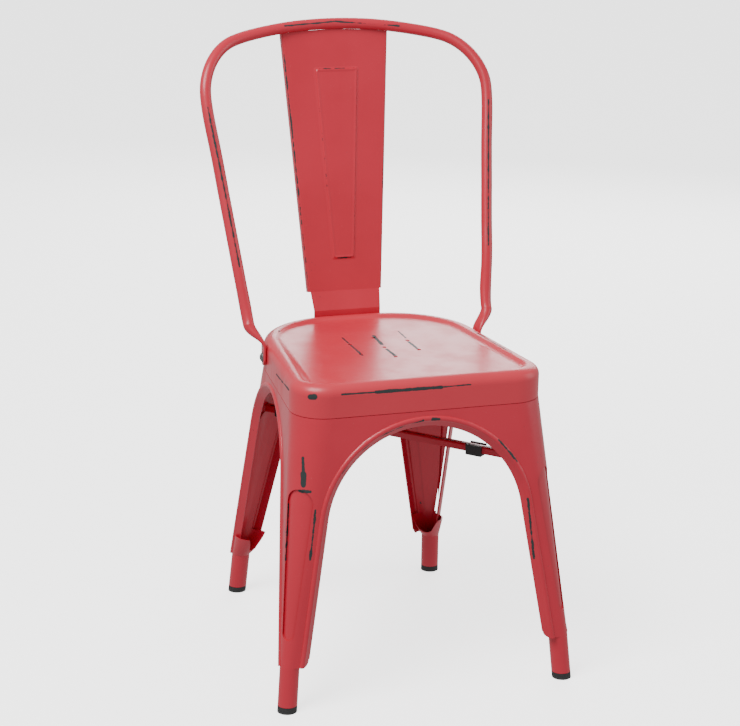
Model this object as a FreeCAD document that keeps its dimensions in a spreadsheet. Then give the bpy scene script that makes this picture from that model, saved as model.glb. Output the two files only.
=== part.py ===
import FreeCAD, Part
import math
import os

import Sketcher
from FreeCAD import Placement, Rotation, Vector

# Stacking bistro chair pressed from sheet steel, in millimetres.
# The seat is level, the sitter faces -Y and +Z is up; left and right are as seen from the front,
# so right is +X. The left and right pieces mirror each other across the YZ plane.
# Every piece is built round the middle of the four feet, then moved back by the stance offset,
# so that the origin lies on the floor under the middle of the whole outline.

doc = FreeCAD.newDocument("BistroChair")

# Driving dimensions
SIZES = [
    # seat pan
    ("stance_offset", "-15"),
    ("rim_height", "434"),
    ("skirt_depth", "43"),
    ("seat_front", "180"),
    ("seat_rear", "166"),
    ("seat_half_width", "160"),
    ("side_taper", "5.745"),
    ("front_corner", "45"),
    ("rear_corner", "120"),
    ("rim_roll", "14"),
    ("dish_margin", "17"),
    ("dish_depth", "5"),
    ("dish_slope", "60"),
    ("dish_blend", "12"),
    ("crest_blend", "7"),
    ("seat_sheet", "1.5"),
    ("drain_diameter", "6"),
    ("drain_pitch", "48.8"),
    ("drain_setback", "4.2"),
    ("hole_clearance", "0.25"),
    # legs
    ("foot_half_track", "196.6"),
    ("foot_reach", "211.2"),
    ("tube_diameter", "26.4"),
    ("leg_sheet", "1.5"),
    ("ankle_height", "62"),
    ("roll_up_height", "96"),
    ("leg_split", "4"),
    ("band_height", "33"),
    ("band_clearance", "0.25"),
    ("seam_gap", "0.8"),
    ("arch_apex", "369.5"),
    ("front_arch_radius", "137"),
    ("front_arch_lean", "9.3"),
    ("rear_arch_radius", "77"),
    ("rear_arch_lean", "11.3"),
    ("side_arch_radius", "118"),
    ("side_arch_lean", "20"),
    ("lip_width", "7.2"),
    ("bead_width", "7.4"),
    ("bead_rise", "2.4"),
    ("ankle_corner", "9"),
    ("flute_depth", "2.6"),
    ("flute_top", "297"),
    ("flute_bottom", "99"),
    ("flute_top_half_width", "19.5"),
    ("flute_bottom_half_width", "9"),
    ("seam_slot", "3"),
    # feet
    ("foot_height", "9"),
    ("foot_stem", "24"),
    ("foot_clearance", "0.25"),
    # back hoop
    ("overall_height", "850"),
    ("hoop_tube", "16"),
    ("hoop_half_width", "208"),
    ("hoop_shoulder", "73"),
    ("hoop_crown", "700"),
    ("hoop_side_lean", "6.2"),
    ("hoop_rake", "20.3"),
    ("hoop_bow", "41"),
    ("hoop_foot_height", "456"),
    ("hoop_foot_setback", "63"),
    ("tab_top", "426"),
    ("tab_width", "22"),
    ("tab_thickness", "4.4"),
    ("tab_clearance", "0.15"),
    ("bolt_height", "411"),
    ("bolt_setback", "50"),
    ("bolt_diameter", "6"),
    ("bolt_head_diameter", "14"),
    ("bolt_head_height", "4"),
    ("bolt_end", "2"),
    ("nut_flats", "10"),
    ("nut_height", "5"),
    ("head_clearance", "0.1"),
    # back splat
    ("splat_sheet", "1.5"),
    ("splat_lean", "10.24"),
    ("splat_length", "372"),
    ("kink_height", "465"),
    ("kink_setback", "177.6"),
    ("kink_half_width", "55.8"),
    ("splat_top_half_width", "79.75"),
    ("splat_flange", "11"),
    ("splat_bend", "3.5"),
    ("splat_kick", "24"),
    ("splat_tab_half_width", "50"),
    ("splat_tab_bottom", "400"),
    ("splat_tab_corner", "8"),
    ("emboss_top", "320"),
    ("emboss_bottom", "46.7"),
    ("emboss_top_half_width", "31.8"),
    ("emboss_bottom_half_width", "15.6"),
    ("emboss_rise", "1.6"),
    ("emboss_slope", "45"),
    ("emboss_corner", "5"),
    ("rivet_height", "412"),
    ("rivet_half_spacing", "30"),
    ("rivet_diameter", "5"),
    ("rivet_head_diameter", "9.5"),
    ("rivet_head_height", "2.2"),
    ("rivet_tail_height", "1.6"),
    # cross brace and stacking bumpers
    ("brace_height", "304"),
    ("brace_crossing", "16.4"),
    ("brace_angle", "41.8"),
    ("brace_overreach", "260"),
    ("brace_bend", "3"),
    ("brace_width", "12"),
    ("brace_depth", "10"),
    ("brace_sheet", "1.5"),
    ("weld_gap", "0.2"),
    ("bumper_reach", "155"),
    ("bumper_length", "24"),
    ("bumper_wall", "2.4"),
    ("bumper_base", "4.5"),
    ("bumper_clearance", "0.2"),
    ("bumper_rise", "1"),
    ("bumper_corner", "2"),
    ("nub_diameter", "5"),
    ("nub_height", "1.5"),
]

sheet = doc.addObject("Spreadsheet::Sheet", "Sizes")
for row, (alias, value) in enumerate(SIZES, 1):
    sheet.set(f"A{row}", alias)
    sheet.set(f"B{row}", value)
    sheet.setAlias(f"B{row}", alias)
doc.recompute()


def size(alias):
    """One driving dimension as a number."""
    return float(sheet.get(alias))


# Helpers for sketches and features

def origin_plane(body, role):
    return [feature for feature in body.Origin.OriginFeatures if feature.Role == role][0]


def attach(body, sketch, role, lift="0"):
    """Lay a sketch on one of its body's own planes, lifted along the plane's normal."""
    sketch.AttachmentSupport = (origin_plane(body, role), [""])
    sketch.MapMode = "FlatFace"
    sketch.setExpression("AttachmentOffset.Base.z", lift)


def evaluate(expression):
    """The number that an expression on the sheet gives, to start the sketch from."""
    return float(FreeCAD.Units.Quantity(sheet.evalExpression(expression)).Value)


def pin(sketch, index, vertex, place, across, up):
    """Hold one point of a sketch at a pair of expressions."""
    for kind, start, expression in (("DistanceX", place.x, across), ("DistanceY", place.y, up)):
        number = sketch.addConstraint(Sketcher.Constraint(kind, -1, 1, index, vertex, start))
        sketch.setExpression(f"Constraints[{number}]", expression)


def outline(sketch, corners, radii=None):
    """A closed outline through corners, each a pair of expressions, listed counter-clockwise.

    radii maps the index of a corner to the radius expression of the arc that starts there.
    """
    radii = radii or {}
    points = [Vector(evaluate(across), evaluate(up), 0) for across, up in corners]
    count = len(points)
    for index in range(count):
        start = points[index]
        end = points[(index + 1) % count]
        if index in radii:
            radius = evaluate(radii[index])
            chord = end - start
            bulge = radius - math.sqrt(radius ** 2 - (chord.Length / 2) ** 2)
            outwards = Vector(chord.y, -chord.x, 0).normalize()
            middle = (start + end) * 0.5 + outwards * bulge
            sketch.addGeometry(Part.Arc(start, middle, end))
        else:
            sketch.addGeometry(Part.LineSegment(start, end))
    for index in range(count):
        sketch.addConstraint(Sketcher.Constraint("Coincident", index, 2, (index + 1) % count, 1))
    for index, (across, up) in enumerate(corners):
        pin(sketch, index, 1, points[index], across, up)
    for index, expression in radii.items():
        number = sketch.addConstraint(Sketcher.Constraint("Radius", index, evaluate(expression)))
        sketch.setExpression(f"Constraints[{number}]", expression)


def boolean(kind, name, base, tool):
    """A Cut or Common of two objects."""
    piece = doc.addObject(f"Part::{kind}", name)
    piece.Base = base
    piece.Tool = tool
    return piece


def joined(name, pieces):
    piece = doc.addObject("Part::MultiFuse", name)
    piece.Shapes = pieces
    piece.Refine = False
    return piece


DRILL_REACH = 30


def drill(name, diameter, start, direction):
    """A round cutter whose diameter follows the sheet, long enough for every wall it crosses."""
    cylinder = doc.addObject("Part::Cylinder", name)
    cylinder.setExpression("Radius", f"({diameter}) / 2")
    cylinder.Height = 2 * DRILL_REACH
    cylinder.Placement = Placement(start, Rotation(Vector(0, 0, 1), direction))
    return cylinder


parts = {}


def finish_piece(piece, name):
    """Name a finished sub-part and keep it for the checks and the export."""
    piece.Label = name
    parts[name] = piece
    return piece


def mirrored(name, source):
    """The left-hand twin of a right-hand piece."""
    piece = doc.addObject("Part::Mirroring", name)
    piece.Source = source
    piece.Normal = Vector(1, 0, 0)
    return finish_piece(piece, name)


# Plan of the walls: the side walls taper towards the rear, so left and right are lines
# x = half - tan(taper) * y, and every corner is an arc that touches both its walls.

TAPER = "(Sizes.side_taper * 1deg)"


def seat_corners(inset):
    """The seat's plan, moved inwards by an inset, as the corners of an outline."""
    front_x = (
        f"(Sizes.seat_half_width + tan({TAPER}) * (Sizes.seat_front - Sizes.front_corner)"
        f" - Sizes.front_corner / cos({TAPER}))"
    )
    rear_x = (
        f"(Sizes.seat_half_width - tan({TAPER}) * (Sizes.seat_rear - Sizes.rear_corner)"
        f" - Sizes.rear_corner / cos({TAPER}))"
    )
    front_y = "(Sizes.front_corner - Sizes.seat_front)"
    rear_y = "(Sizes.seat_rear - Sizes.rear_corner)"
    front_radius = f"(Sizes.front_corner - {inset})"
    rear_radius = f"(Sizes.rear_corner - {inset})"
    front_side = f"({front_x} + {front_radius} * cos({TAPER}))"
    front_side_y = f"{front_y} + {front_radius} * sin({TAPER})"
    rear_side = f"({rear_x} + {rear_radius} * cos({TAPER}))"
    rear_side_y = f"{rear_y} + {rear_radius} * sin({TAPER})"
    front = f"{inset} - Sizes.seat_front"
    rear = f"Sizes.seat_rear - {inset}"
    corners = [
        (f"-{front_x}", front),
        (front_x, front),
        (front_side, front_side_y),
        (rear_side, rear_side_y),
        (rear_x, rear),
        (f"-{rear_x}", rear),
        (f"-{rear_side}", rear_side_y),
        (f"-{front_side}", front_side_y),
    ]
    arcs = {1: front_radius, 3: rear_radius, 5: rear_radius, 7: front_radius}
    return corners, arcs


def edge_names(shape, wanted):
    """Names of the edges that a test picks."""
    return [f"Edge{number}" for number, edge in enumerate(shape.Edges, 1) if wanted(edge)]


def middle_of(edge):
    return edge.valueAt((edge.FirstParameter + edge.LastParameter) / 2)


def level_at(height):
    """A test that picks edges lying level at a height."""
    return lambda edge: all(abs(point.z - height) < 0.01 for point in edge.discretize(3))


def rounded(body, name, base, edges, radius):
    """A fillet on the named edges of a body's last feature."""
    blend = body.newObject("PartDesign::Fillet", name)
    blend.Base = (base, edges)
    blend.Refine = False
    blend.setExpression("Radius", radius)
    doc.recompute()
    return blend


def flat_sketch(body, name, role, lift="0"):
    sketch = body.newObject("Sketcher::SketchObject", name)
    attach(body, sketch, role, lift)
    return sketch


def dished_block(name, inset, bottom, top):
    """A solid block with the seat's plan, its rolled rim and its dished top."""
    body = doc.addObject("PartDesign::Body", name)
    plan = flat_sketch(body, f"{name}_plan", "XY_Plane", bottom)
    outline(plan, *seat_corners(inset))
    block = body.newObject("PartDesign::Pad", f"{name}_pad")
    block.Profile = plan
    block.setExpression("Length", f"{top} - ({bottom})")
    doc.recompute()
    top_height = evaluate(top)
    rim = edge_names(block.Shape, level_at(top_height))
    roll = rounded(body, f"{name}_roll", block, rim, f"Sizes.rim_roll - {inset}")
    dish_plan = flat_sketch(body, f"{name}_dish_plan", "XY_Plane", top)
    margin = f"(Sizes.dish_margin - {inset} * tan(45deg - Sizes.dish_slope * 0.5deg))"
    outline(dish_plan, *seat_corners(margin))
    dish = body.newObject("PartDesign::Pocket", f"{name}_dish")
    dish.Profile = dish_plan
    dish.setExpression("Length", "Sizes.dish_depth")
    dish.setExpression("TaperAngle", "-Sizes.dish_slope")
    doc.recompute()
    assert dish.Shape.Volume < roll.Shape.Volume
    floor = level_at(top_height - size("dish_depth"))
    floor_edges = edge_names(dish.Shape, floor)
    blend = rounded(body, f"{name}_blend", dish, floor_edges, f"Sizes.dish_blend + {inset}")
    crest = [edge for edge in dish_plan.Shape.Edges]

    def on_crest(edge):
        spot = Part.Vertex(middle_of(edge))
        return any(line.distToShape(spot)[0] < 0.01 for line in crest)

    rounded(body, f"{name}_crest", blend, edge_names(blend.Shape, on_crest), f"Sizes.crest_blend - {inset}")
    return body


# Walls of the base in plain numbers, for the pressed legs

tube_radius = size("tube_diameter") / 2
taper = math.tan(math.radians(size("side_taper")))
side_normal = Vector(1, taper, 0).normalize()
skirt_bottom = size("rim_height") - size("skirt_depth")
flush_top = skirt_bottom - size("seam_gap")
foot_wall = size("foot_reach") + tube_radius
foot_side = size("foot_half_track") - taper * size("foot_reach")
foot_side = foot_side + tube_radius * math.hypot(1, taper)


def mix(low, high, share):
    return low + (high - low) * share


class Leg:
    """One quarter of the base on the right side: end is -1 at the front and 1 at the rear."""

    def __init__(self, end):
        self.end = end
        self.seat_wall = size("seat_front") if end < 0 else size("seat_rear")
        self.seat_corner = size("front_corner") if end < 0 else size("rear_corner")
        self.wall_normal = Vector(0, end, 0)
        self.split = size("leg_split")

    def wall(self, height):
        return mix(foot_wall, self.seat_wall, height / skirt_bottom)

    def side(self, height):
        return mix(foot_side, size("seat_half_width"), height / skirt_bottom)

    def radius(self, height):
        share = (height - size("ankle_height")) / (skirt_bottom - size("ankle_height"))
        return mix(tube_radius, self.seat_corner, share)

    def centre(self, height, radius=None):
        """Centre of the arc that rounds the corner at a height."""
        radius = radius or self.radius(height)
        across = self.end * (self.wall(height) - radius)
        out = self.side(height) - taper * across - radius * math.hypot(1, taper)
        return Vector(out, across, height)

    def quarter(self, height, inset, overrun=0):
        """Closed plan of the quarter at a height: two walls, their corner arc and the cuts."""
        radius = self.radius(height)
        centre = self.centre(height)
        bisector = (self.wall_normal + side_normal).normalize()
        wall_y = self.end * (self.wall(height) - inset)
        split_y = self.split - self.end * overrun
        split_x = self.side(height) - taper * split_y - inset * math.hypot(1, taper)
        wall_start = Vector(-overrun, wall_y, height)
        wall_end = Vector(centre.x, wall_y, height)
        corner_middle = centre + bisector * (radius - inset)
        side_start = centre + side_normal * (radius - inset)
        side_end = Vector(split_x, split_y, height)
        middle = Vector(-overrun, split_y, height)
        return Part.Wire([
            Part.makeLine(wall_start, wall_end),
            Part.Arc(wall_end, corner_middle, side_start).toShape(),
            Part.makeLine(side_start, side_end),
            Part.makeLine(side_end, middle),
            Part.makeLine(middle, wall_start),
        ])

    def ring(self, height, inset):
        """Level section of the round tube, which grows into the corner above the ankle."""
        radius = max(self.radius(height), tube_radius)
        return Part.Wire(Part.makeCircle(radius - inset, self.centre(height, radius)))

    def pyramid(self, low, high, inset, overrun=0):
        """The quarter as a leaning solid between two heights."""
        return Part.makeLoft([self.quarter(low, inset, overrun), self.quarter(high, inset, overrun)], True, True)

    def prism(self, low, high, inset, overrun=0):
        """The seat's own plan as an upright solid, for the band that the seat fits over."""
        plan = self.quarter(skirt_bottom, inset, overrun)
        plan.translate(Vector(0, 0, low - skirt_bottom))
        return Part.Face(plan).extrude(Vector(0, 0, high - low))

    def end_frame(self):
        """Frame on the outer face of the front or rear wall: origin, across, up, outwards."""
        up = Vector(0, -self.end * (foot_wall - self.seat_wall), skirt_bottom).normalize()
        across = Vector(1, 0, 0)
        outwards = Vector(0, self.end * up.z, abs(up.y))
        return Vector(0, self.end * foot_wall, 0), across, up, outwards

    def side_frame(self):
        """Frame on the outer face of the side wall, its across axis towards this leg."""
        lean = (foot_side - size("seat_half_width")) / skirt_bottom
        outwards = Vector(1, taper, lean).normalize()
        across = Vector(-taper, 1, 0).normalize()
        up = outwards.cross(across)
        origin = Vector(foot_side - taper * self.split, self.split, 0)
        return origin, across * self.end, up, outwards


class Arch:
    """Half of an arched opening in a wall: a round head that runs into a leaning straight edge."""

    def __init__(self, frame, radius, lean):
        self.origin, self.across, self.up, self.outwards = frame
        self.radius = radius
        self.lean = math.radians(lean)
        self.apex = size("arch_apex") / self.up.z
        self.head = self.apex - radius

    def point(self, across, up, out=0):
        return self.origin + self.across * across + self.up * up + self.outwards * out

    def spring(self, offset):
        """Where the round head meets the straight edge."""
        reach = self.radius + offset
        return reach * math.cos(self.lean), self.head + reach * math.sin(self.lean)

    def on_head(self, angle, offset=0):
        reach = self.radius + offset
        return self.point(reach * math.sin(angle), self.head + reach * math.cos(angle))

    def at_foot(self, offset, up):
        across, spring = self.spring(offset)
        return across + (spring - up) * math.tan(self.lean), up

    def path(self, low, overrun=0):
        """The edge of the opening from its apex down to a height."""
        half_turn = (math.pi / 2 - self.lean) / 2
        spring = self.point(*self.spring(0))
        edges = [
            Part.Arc(self.on_head(0), self.on_head(half_turn), spring).toShape(),
            Part.makeLine(spring, self.point(*self.at_foot(0, low / self.up.z))),
        ]
        if overrun:
            edges.insert(0, Part.makeLine(self.point(-overrun, self.apex), self.on_head(0)))
        return Part.Wire(edges)

    def cutter(self, offset, depth):
        """A plug that clears the opening, grown by an offset, through the wall."""
        low = -30
        left_spring, spring_up = self.spring(offset)
        left_spring = -left_spring
        left_foot = -self.at_foot(offset, low)[0]
        loop = Part.Wire([
            Part.makeLine(self.point(left_foot, low), self.point(left_spring, spring_up)),
            Part.Arc(
                self.point(left_spring, spring_up),
                self.on_head(0, offset),
                self.point(-left_spring, spring_up),
            ).toShape(),
            Part.makeLine(self.point(-left_spring, spring_up), self.point(-left_foot, low)),
            Part.makeLine(self.point(-left_foot, low), self.point(left_foot, low)),
        ])
        plug = Part.Face(loop).extrude(self.outwards * (2 * depth))
        plug.translate(self.outwards * -depth)
        return plug

    def rolled_edge(self, low, overrun=0):
        """The raised bead round the opening and the lip that turns in behind it."""
        lip = size("lip_width")
        bead = size("bead_width")
        rise = size("bead_rise")
        skin = size("leg_sheet")
        slant = skin / math.sqrt(2)
        wall_lap = 1.0
        lap_top = -skin * 0.2
        lap_bottom = -skin * 0.8
        start = self.point(-overrun, self.apex)

        def at(into, out):
            return start + self.up * into + self.outwards * out

        bead_middle = lip + bead / 2
        section = Part.Wire([
            Part.makeLine(at(0, -lip), at(lip, 0)),
            Part.Arc(at(lip, 0), at(bead_middle, rise), at(lip + bead, 0)).toShape(),
            Part.makeLine(at(lip + bead, 0), at(lip + bead, lap_top)),
            Part.makeLine(at(lip + bead, lap_top), at(lip + bead + wall_lap, lap_top)),
            Part.makeLine(at(lip + bead + wall_lap, lap_top), at(lip + bead + wall_lap, lap_bottom)),
            Part.makeLine(at(lip + bead + wall_lap, lap_bottom), at(lip + bead, lap_bottom)),
            Part.makeLine(at(lip + bead, lap_bottom), at(lip + bead, -skin)),
            Part.makeLine(at(lip + bead, -skin), at(lip + bead - skin / 2, -skin)),
            Part.Arc(
                at(lip + bead - skin / 2, -skin),
                at(bead_middle, rise - skin),
                at(lip + slant, -slant),
            ).toShape(),
            Part.makeLine(at(lip + slant, -slant), at(slant, -lip - slant)),
            Part.makeLine(at(slant, -lip - slant), at(0, -lip)),
        ])
        pipe = Part.BRepOffsetAPI.MakePipeShell(self.path(low, overrun))
        pipe.setBiNormalMode(self.outwards)
        pipe.add(section)
        pipe.build()
        pipe.makeSolid()
        return pipe.shape()

    def ankle_cutter(self, low):
        """Rounds off the lower end of the lip."""
        corner = size("ankle_corner")
        reach = 40
        across, up = self.at_foot(0, low / self.up.z)
        box = Part.Wire(Part.makePolygon([
            self.point(across - reach, up - reach),
            self.point(across + corner, up - reach),
            self.point(across + corner, up + corner),
            self.point(across - reach, up + corner),
            self.point(across - reach, up - reach),
        ]))
        depth = 30
        block = Part.Face(box).extrude(self.outwards * (2 * depth))
        block.translate(self.outwards * -depth)
        axis = self.point(across + corner, up + corner, -depth - 1)
        pin = Part.makeCylinder(corner, 2 * depth + 2, axis, self.outwards)
        return block.cut(pin)


def flute(leg, growth):
    """A leaning plug in the outline of the pressed flute, a tall arch on the leg's corner."""
    bisector = (leg.wall_normal + side_normal).normalize()
    across = Vector(0, 0, 1).cross(bisector)
    half_top = size("flute_top_half_width") + growth
    half_bottom = size("flute_bottom_half_width") + growth
    top = size("flute_top") + growth - half_top
    bottom = size("flute_bottom") - growth + half_bottom
    top_axis = leg.centre(top).dot(across)
    bottom_axis = leg.centre(bottom).dot(across)
    inner = min(leg.centre(top).dot(bisector), leg.centre(bottom).dot(bisector))

    def at(sideways, height):
        return across * sideways + bisector * inner + Vector(0, 0, height)

    loop = Part.Wire([
        Part.makeLine(at(bottom_axis + half_bottom, bottom), at(top_axis + half_top, top)),
        Part.Arc(
            at(top_axis + half_top, top),
            at(top_axis, top + half_top),
            at(top_axis - half_top, top),
        ).toShape(),
        Part.makeLine(at(top_axis - half_top, top), at(bottom_axis - half_bottom, bottom)),
        Part.Arc(
            at(bottom_axis - half_bottom, bottom),
            at(bottom_axis, bottom - half_bottom),
            at(bottom_axis + half_bottom, bottom),
        ).toShape(),
    ])
    return Part.Face(loop).extrude(bisector * 150)


def tube_stretch(leg, low, high, inset):
    """A leaning round bar between two heights whose level sections are circles."""
    stops = [low, high]
    if low < size("ankle_height") < high:
        stops.insert(1, size("ankle_height"))
    pieces = []
    for start, end in zip(stops, stops[1:]):
        rings = [leg.ring(height, inset) for height in (start, end)]
        pieces.append(Part.makeLoft(rings, True, True))
    whole = pieces[0]
    for piece in pieces[1:]:
        whole = whole.fuse(piece)
    return whole


def seam_cutter(leg):
    """The open seam on the inner side of the tube, which widens where the sheet rolls up."""
    bisector = (leg.wall_normal + side_normal).normalize()
    across = Vector(0, 0, 1).cross(bisector)
    low = size("foot_height") - 1
    ankle = size("ankle_height")
    top = size("roll_up_height") + 1
    slot = size("seam_slot") / 2
    widening = 0.9
    wide = leg.radius(top) * widening
    outer = leg.centre(top).dot(bisector)

    def at(sideways, height):
        axis = leg.centre(height, max(leg.radius(height), tube_radius)).dot(across)
        return across * (axis + sideways) + bisector * outer + Vector(0, 0, height)

    loop = Part.Wire(Part.makePolygon([
        at(-slot, low),
        at(slot, low),
        at(slot, ankle - slot),
        at(wide, top),
        at(-wide, top),
        at(-slot, ankle - slot),
        at(-slot, low),
    ]))
    return Part.Face(loop).extrude(bisector * -60)


def side_point(offset, along, height):
    """A point beside the seat's right skirt: out from its face, at a place along Y."""
    on_wall = Vector(size("seat_half_width") - taper * along, along, height)
    return on_wall + side_normal * offset


def hole_through_side(diameter):
    start = side_point(-DRILL_REACH, size("bolt_setback"), size("bolt_height"))
    return Part.makeCylinder(diameter / 2, 2 * DRILL_REACH, start, side_normal)


def holes_through_rear(diameter):
    drills = []
    for across in (-size("rivet_half_spacing"), size("rivet_half_spacing")):
        start = Vector(across, size("seat_rear") - DRILL_REACH, size("rivet_height"))
        drills.append(Part.makeCylinder(diameter / 2, 2 * DRILL_REACH, start, Vector(0, 1, 0)))
    return drills[0].fuse(drills[1])


bolt_hole = size("bolt_diameter") + 2 * size("hole_clearance")
rivet_hole = size("rivet_diameter") + 2 * size("hole_clearance")


def pressed_leg(end):
    """One leg with its quarter of the apron, pressed from one sheet."""
    leg = Leg(end)
    skin = size("leg_sheet")
    ankle = size("ankle_height")
    band_out = size("seat_sheet") + size("band_clearance")
    band_in = band_out + skin
    beyond = 8
    depth = size("flute_depth")

    low, high = ankle, flush_top
    outer = leg.pyramid(low, high, 0)
    inner = leg.pyramid(low - 3, high + 1, skin, beyond)
    pressed_out = flute(leg, 0).cut(leg.pyramid(low, high, depth, beyond))
    pressed_in = flute(leg, skin).cut(leg.pyramid(low, high, depth + skin, beyond))
    shell = outer.cut(pressed_out).cut(inner.cut(pressed_in))

    lip_reach = size("lip_width") + size("bead_width")
    if end < 0:
        radius, lean = size("front_arch_radius"), size("front_arch_lean")
    else:
        radius, lean = size("rear_arch_radius"), size("rear_arch_lean")
    end_arch = Arch(leg.end_frame(), radius, lean)
    side_arch = Arch(leg.side_frame(), size("side_arch_radius"), size("side_arch_lean"))
    shell = shell.cut(end_arch.cutter(lip_reach, 14)).cut(side_arch.cutter(lip_reach, 14))
    edges = [end_arch.rolled_edge(ankle - 4), side_arch.rolled_edge(ankle - 4, 6)]
    shell = shell.fuse(edges)
    floor = Part.makeBox(600, 800, ankle + 20, Vector(-300, -400, -20))
    beyond_split = Part.makeBox(600, 100, 600, Vector(-300, leg.split if end < 0 else leg.split - 100, -20))
    shell = shell.cut(floor).cut(beyond_split)
    shell = shell.cut(end_arch.ankle_cutter(ankle)).cut(side_arch.ankle_cutter(ankle))

    ledge = leg.prism(high - skin, high, 0).cut(leg.prism(high - skin - 1, high + 1, band_in, beyond))
    band_top = skirt_bottom + size("band_height")
    band = leg.prism(high - skin, band_top, band_out)
    band = band.cut(leg.prism(high - skin - 1, band_top + 1, band_in, beyond))
    tube = tube_stretch(leg, size("foot_height"), size("roll_up_height"), 0)
    bore = tube_stretch(leg, size("foot_height") - 1, size("roll_up_height") + 1, skin)
    tube = tube.cut(bore).cut(seam_cutter(leg))
    whole = shell.fuse([ledge, band, tube]).removeSplitter()
    if end > 0:
        whole = whole.cut(hole_through_side(bolt_hole)).cut(holes_through_rear(rivet_hole))
    return whole


def made_shape(name, shape):
    """An object that holds a shape made by the functions above."""
    piece = doc.addObject("Part::Feature", name)
    piece.Shape = shape
    piece.Placement = Placement()
    return piece


# Legs, each with its quarter of the apron

for place, end in (("front", -1), ("rear", 1)):
    right = finish_piece(made_shape(f"leg_{place}_right", pressed_leg(end)), f"leg_{place}_right")
    mirrored(f"leg_{place}_left", right)

# Seat pan

seat_block = dished_block("seat_block", "0", "(Sizes.rim_height - Sizes.skirt_depth)", "Sizes.rim_height")
drain_plan = flat_sketch(seat_block, "drain_plan", "XY_Plane", "Sizes.rim_height")
drain_centres = [("0", "-Sizes.drain_setback")]
for turn in range(30, 390, 60):
    drain_centres.append((
        f"Sizes.drain_pitch * cos({turn}deg)",
        f"Sizes.drain_pitch * sin({turn}deg) - Sizes.drain_setback",
    ))
for index, (across, up) in enumerate(drain_centres):
    centre = Vector(evaluate(across), evaluate(up), 0)
    drain_plan.addGeometry(Part.Circle(centre, Vector(0, 0, 1), size("drain_diameter") / 2))
    pin(drain_plan, index, 3, centre, across, up)
    number = drain_plan.addConstraint(Sketcher.Constraint("Diameter", index, size("drain_diameter")))
    drain_plan.setExpression(f"Constraints[{number}]", "Sizes.drain_diameter")
drains = seat_block.newObject("PartDesign::Pocket", "drain_holes")
drains.Profile = drain_plan
drains.setExpression("Length", "Sizes.dish_depth + 4 * Sizes.seat_sheet")
doc.recompute()

seat_hollow = dished_block(
    "seat_hollow",
    "Sizes.seat_sheet",
    "(Sizes.rim_height - Sizes.skirt_depth - 1)",
    "(Sizes.rim_height - Sizes.seat_sheet)",
)
seat_shell = boolean("Cut", "seat_shell", seat_block, seat_hollow)
BOLT_HOLE = "Sizes.bolt_diameter + 2 * Sizes.hole_clearance"
RIVET_HOLE = "Sizes.rivet_diameter + 2 * Sizes.hole_clearance"
bolt_start = side_point(-DRILL_REACH, size("bolt_setback"), size("bolt_height"))
seat_drills = [drill("seat_bolt_drill_right", BOLT_HOLE, bolt_start, side_normal)]
across_start = Vector(-bolt_start.x, bolt_start.y, bolt_start.z)
across_normal = Vector(-side_normal.x, side_normal.y, 0)
seat_drills.append(drill("seat_bolt_drill_left", BOLT_HOLE, across_start, across_normal))
for side, name in ((1, "right"), (-1, "left")):
    start = Vector(side * size("rivet_half_spacing"), size("seat_rear") - DRILL_REACH, size("rivet_height"))
    seat_drills.append(drill(f"seat_rivet_drill_{name}", RIVET_HOLE, start, Vector(0, 1, 0)))
seat_pan = boolean("Cut", "seat_pan", seat_shell, joined("seat_drills", seat_drills))
finish_piece(seat_pan, "seat_pan")

# Rubber feet


def skewed_bar(name, leg, low, high, radius):
    """A round bar between two heights that leans with the foot of a leg."""
    rings = []
    for number, height in enumerate((low, high)):
        ring = doc.addObject("Part::Circle", f"{name}_ring_{number}")
        ring.setExpression("Radius", radius)
        ring.Placement = Placement(leg.centre(height, tube_radius), Rotation())
        rings.append(ring)
    bar = doc.addObject("Part::Loft", name)
    bar.Sections = rings
    bar.Solid = True
    bar.Ruled = True
    return bar


for place, end in (("front", -1), ("rear", 1)):
    leg = Leg(end)
    name = f"foot_{place}"
    pad_top = size("foot_height") - size("hole_clearance")
    pad = skewed_bar(f"{name}_pad", leg, 0, pad_top, "Sizes.tube_diameter / 2")
    plug_radius = "Sizes.tube_diameter / 2 - Sizes.leg_sheet - Sizes.foot_clearance"
    plug = skewed_bar(f"{name}_plug", leg, pad_top, size("foot_height") + size("foot_stem"), plug_radius)
    foot = joined(f"{name}_right", [pad, plug])
    finish_piece(foot, f"{name}_right")
    mirrored(f"{name}_left", foot)

# Back hoop: a bent tube whose lower ends are pressed flat into bolted tabs

hoop_radius = size("hoop_tube") / 2
side_lean = math.radians(size("hoop_side_lean"))
rake = math.tan(math.radians(size("hoop_rake")))
shoulder = size("hoop_shoulder")
crown = size("hoop_crown")
crown_top = size("overall_height") - hoop_radius
shoulder_x = size("hoop_half_width") - shoulder
shoulder_z = crown_top - crown + math.sqrt((crown - shoulder) ** 2 - shoulder_x ** 2)
shoulder_turn = math.asin(shoulder_x / (crown - shoulder))


def raked(across, height, bow=0.0):
    """A point on the hoop's raked face, pushed back by a bow."""
    setback = size("hoop_foot_setback") + rake * (height - size("hoop_foot_height"))
    return Vector(across, setback + bow, height)


def bowed(across, height):
    """A point on the hoop above its widest place, where the top rail bows backwards."""
    share = 1 - (abs(across) / size("hoop_half_width")) ** 3
    return raked(across, height, size("hoop_bow") * share)


def hoop_side_point(height):
    """The straight side's centre-line at a height."""
    tangent_x = shoulder_x + shoulder * math.cos(side_lean)
    tangent_z = shoulder_z - shoulder * math.sin(side_lean)
    return raked(tangent_x - math.tan(side_lean) * (tangent_z - height), height)


def on_shoulder(turn):
    """A point on the round shoulder, by its angle above level."""
    across = shoulder_x + shoulder * math.cos(turn)
    height = shoulder_z + shoulder * math.sin(turn)
    return bowed(across, height) if turn > 0 else raked(across, height)


def on_crown(turn):
    """A point on the top rail, by its angle away from the middle."""
    return bowed(crown * math.sin(turn), crown_top - crown + crown * math.cos(turn))


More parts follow.
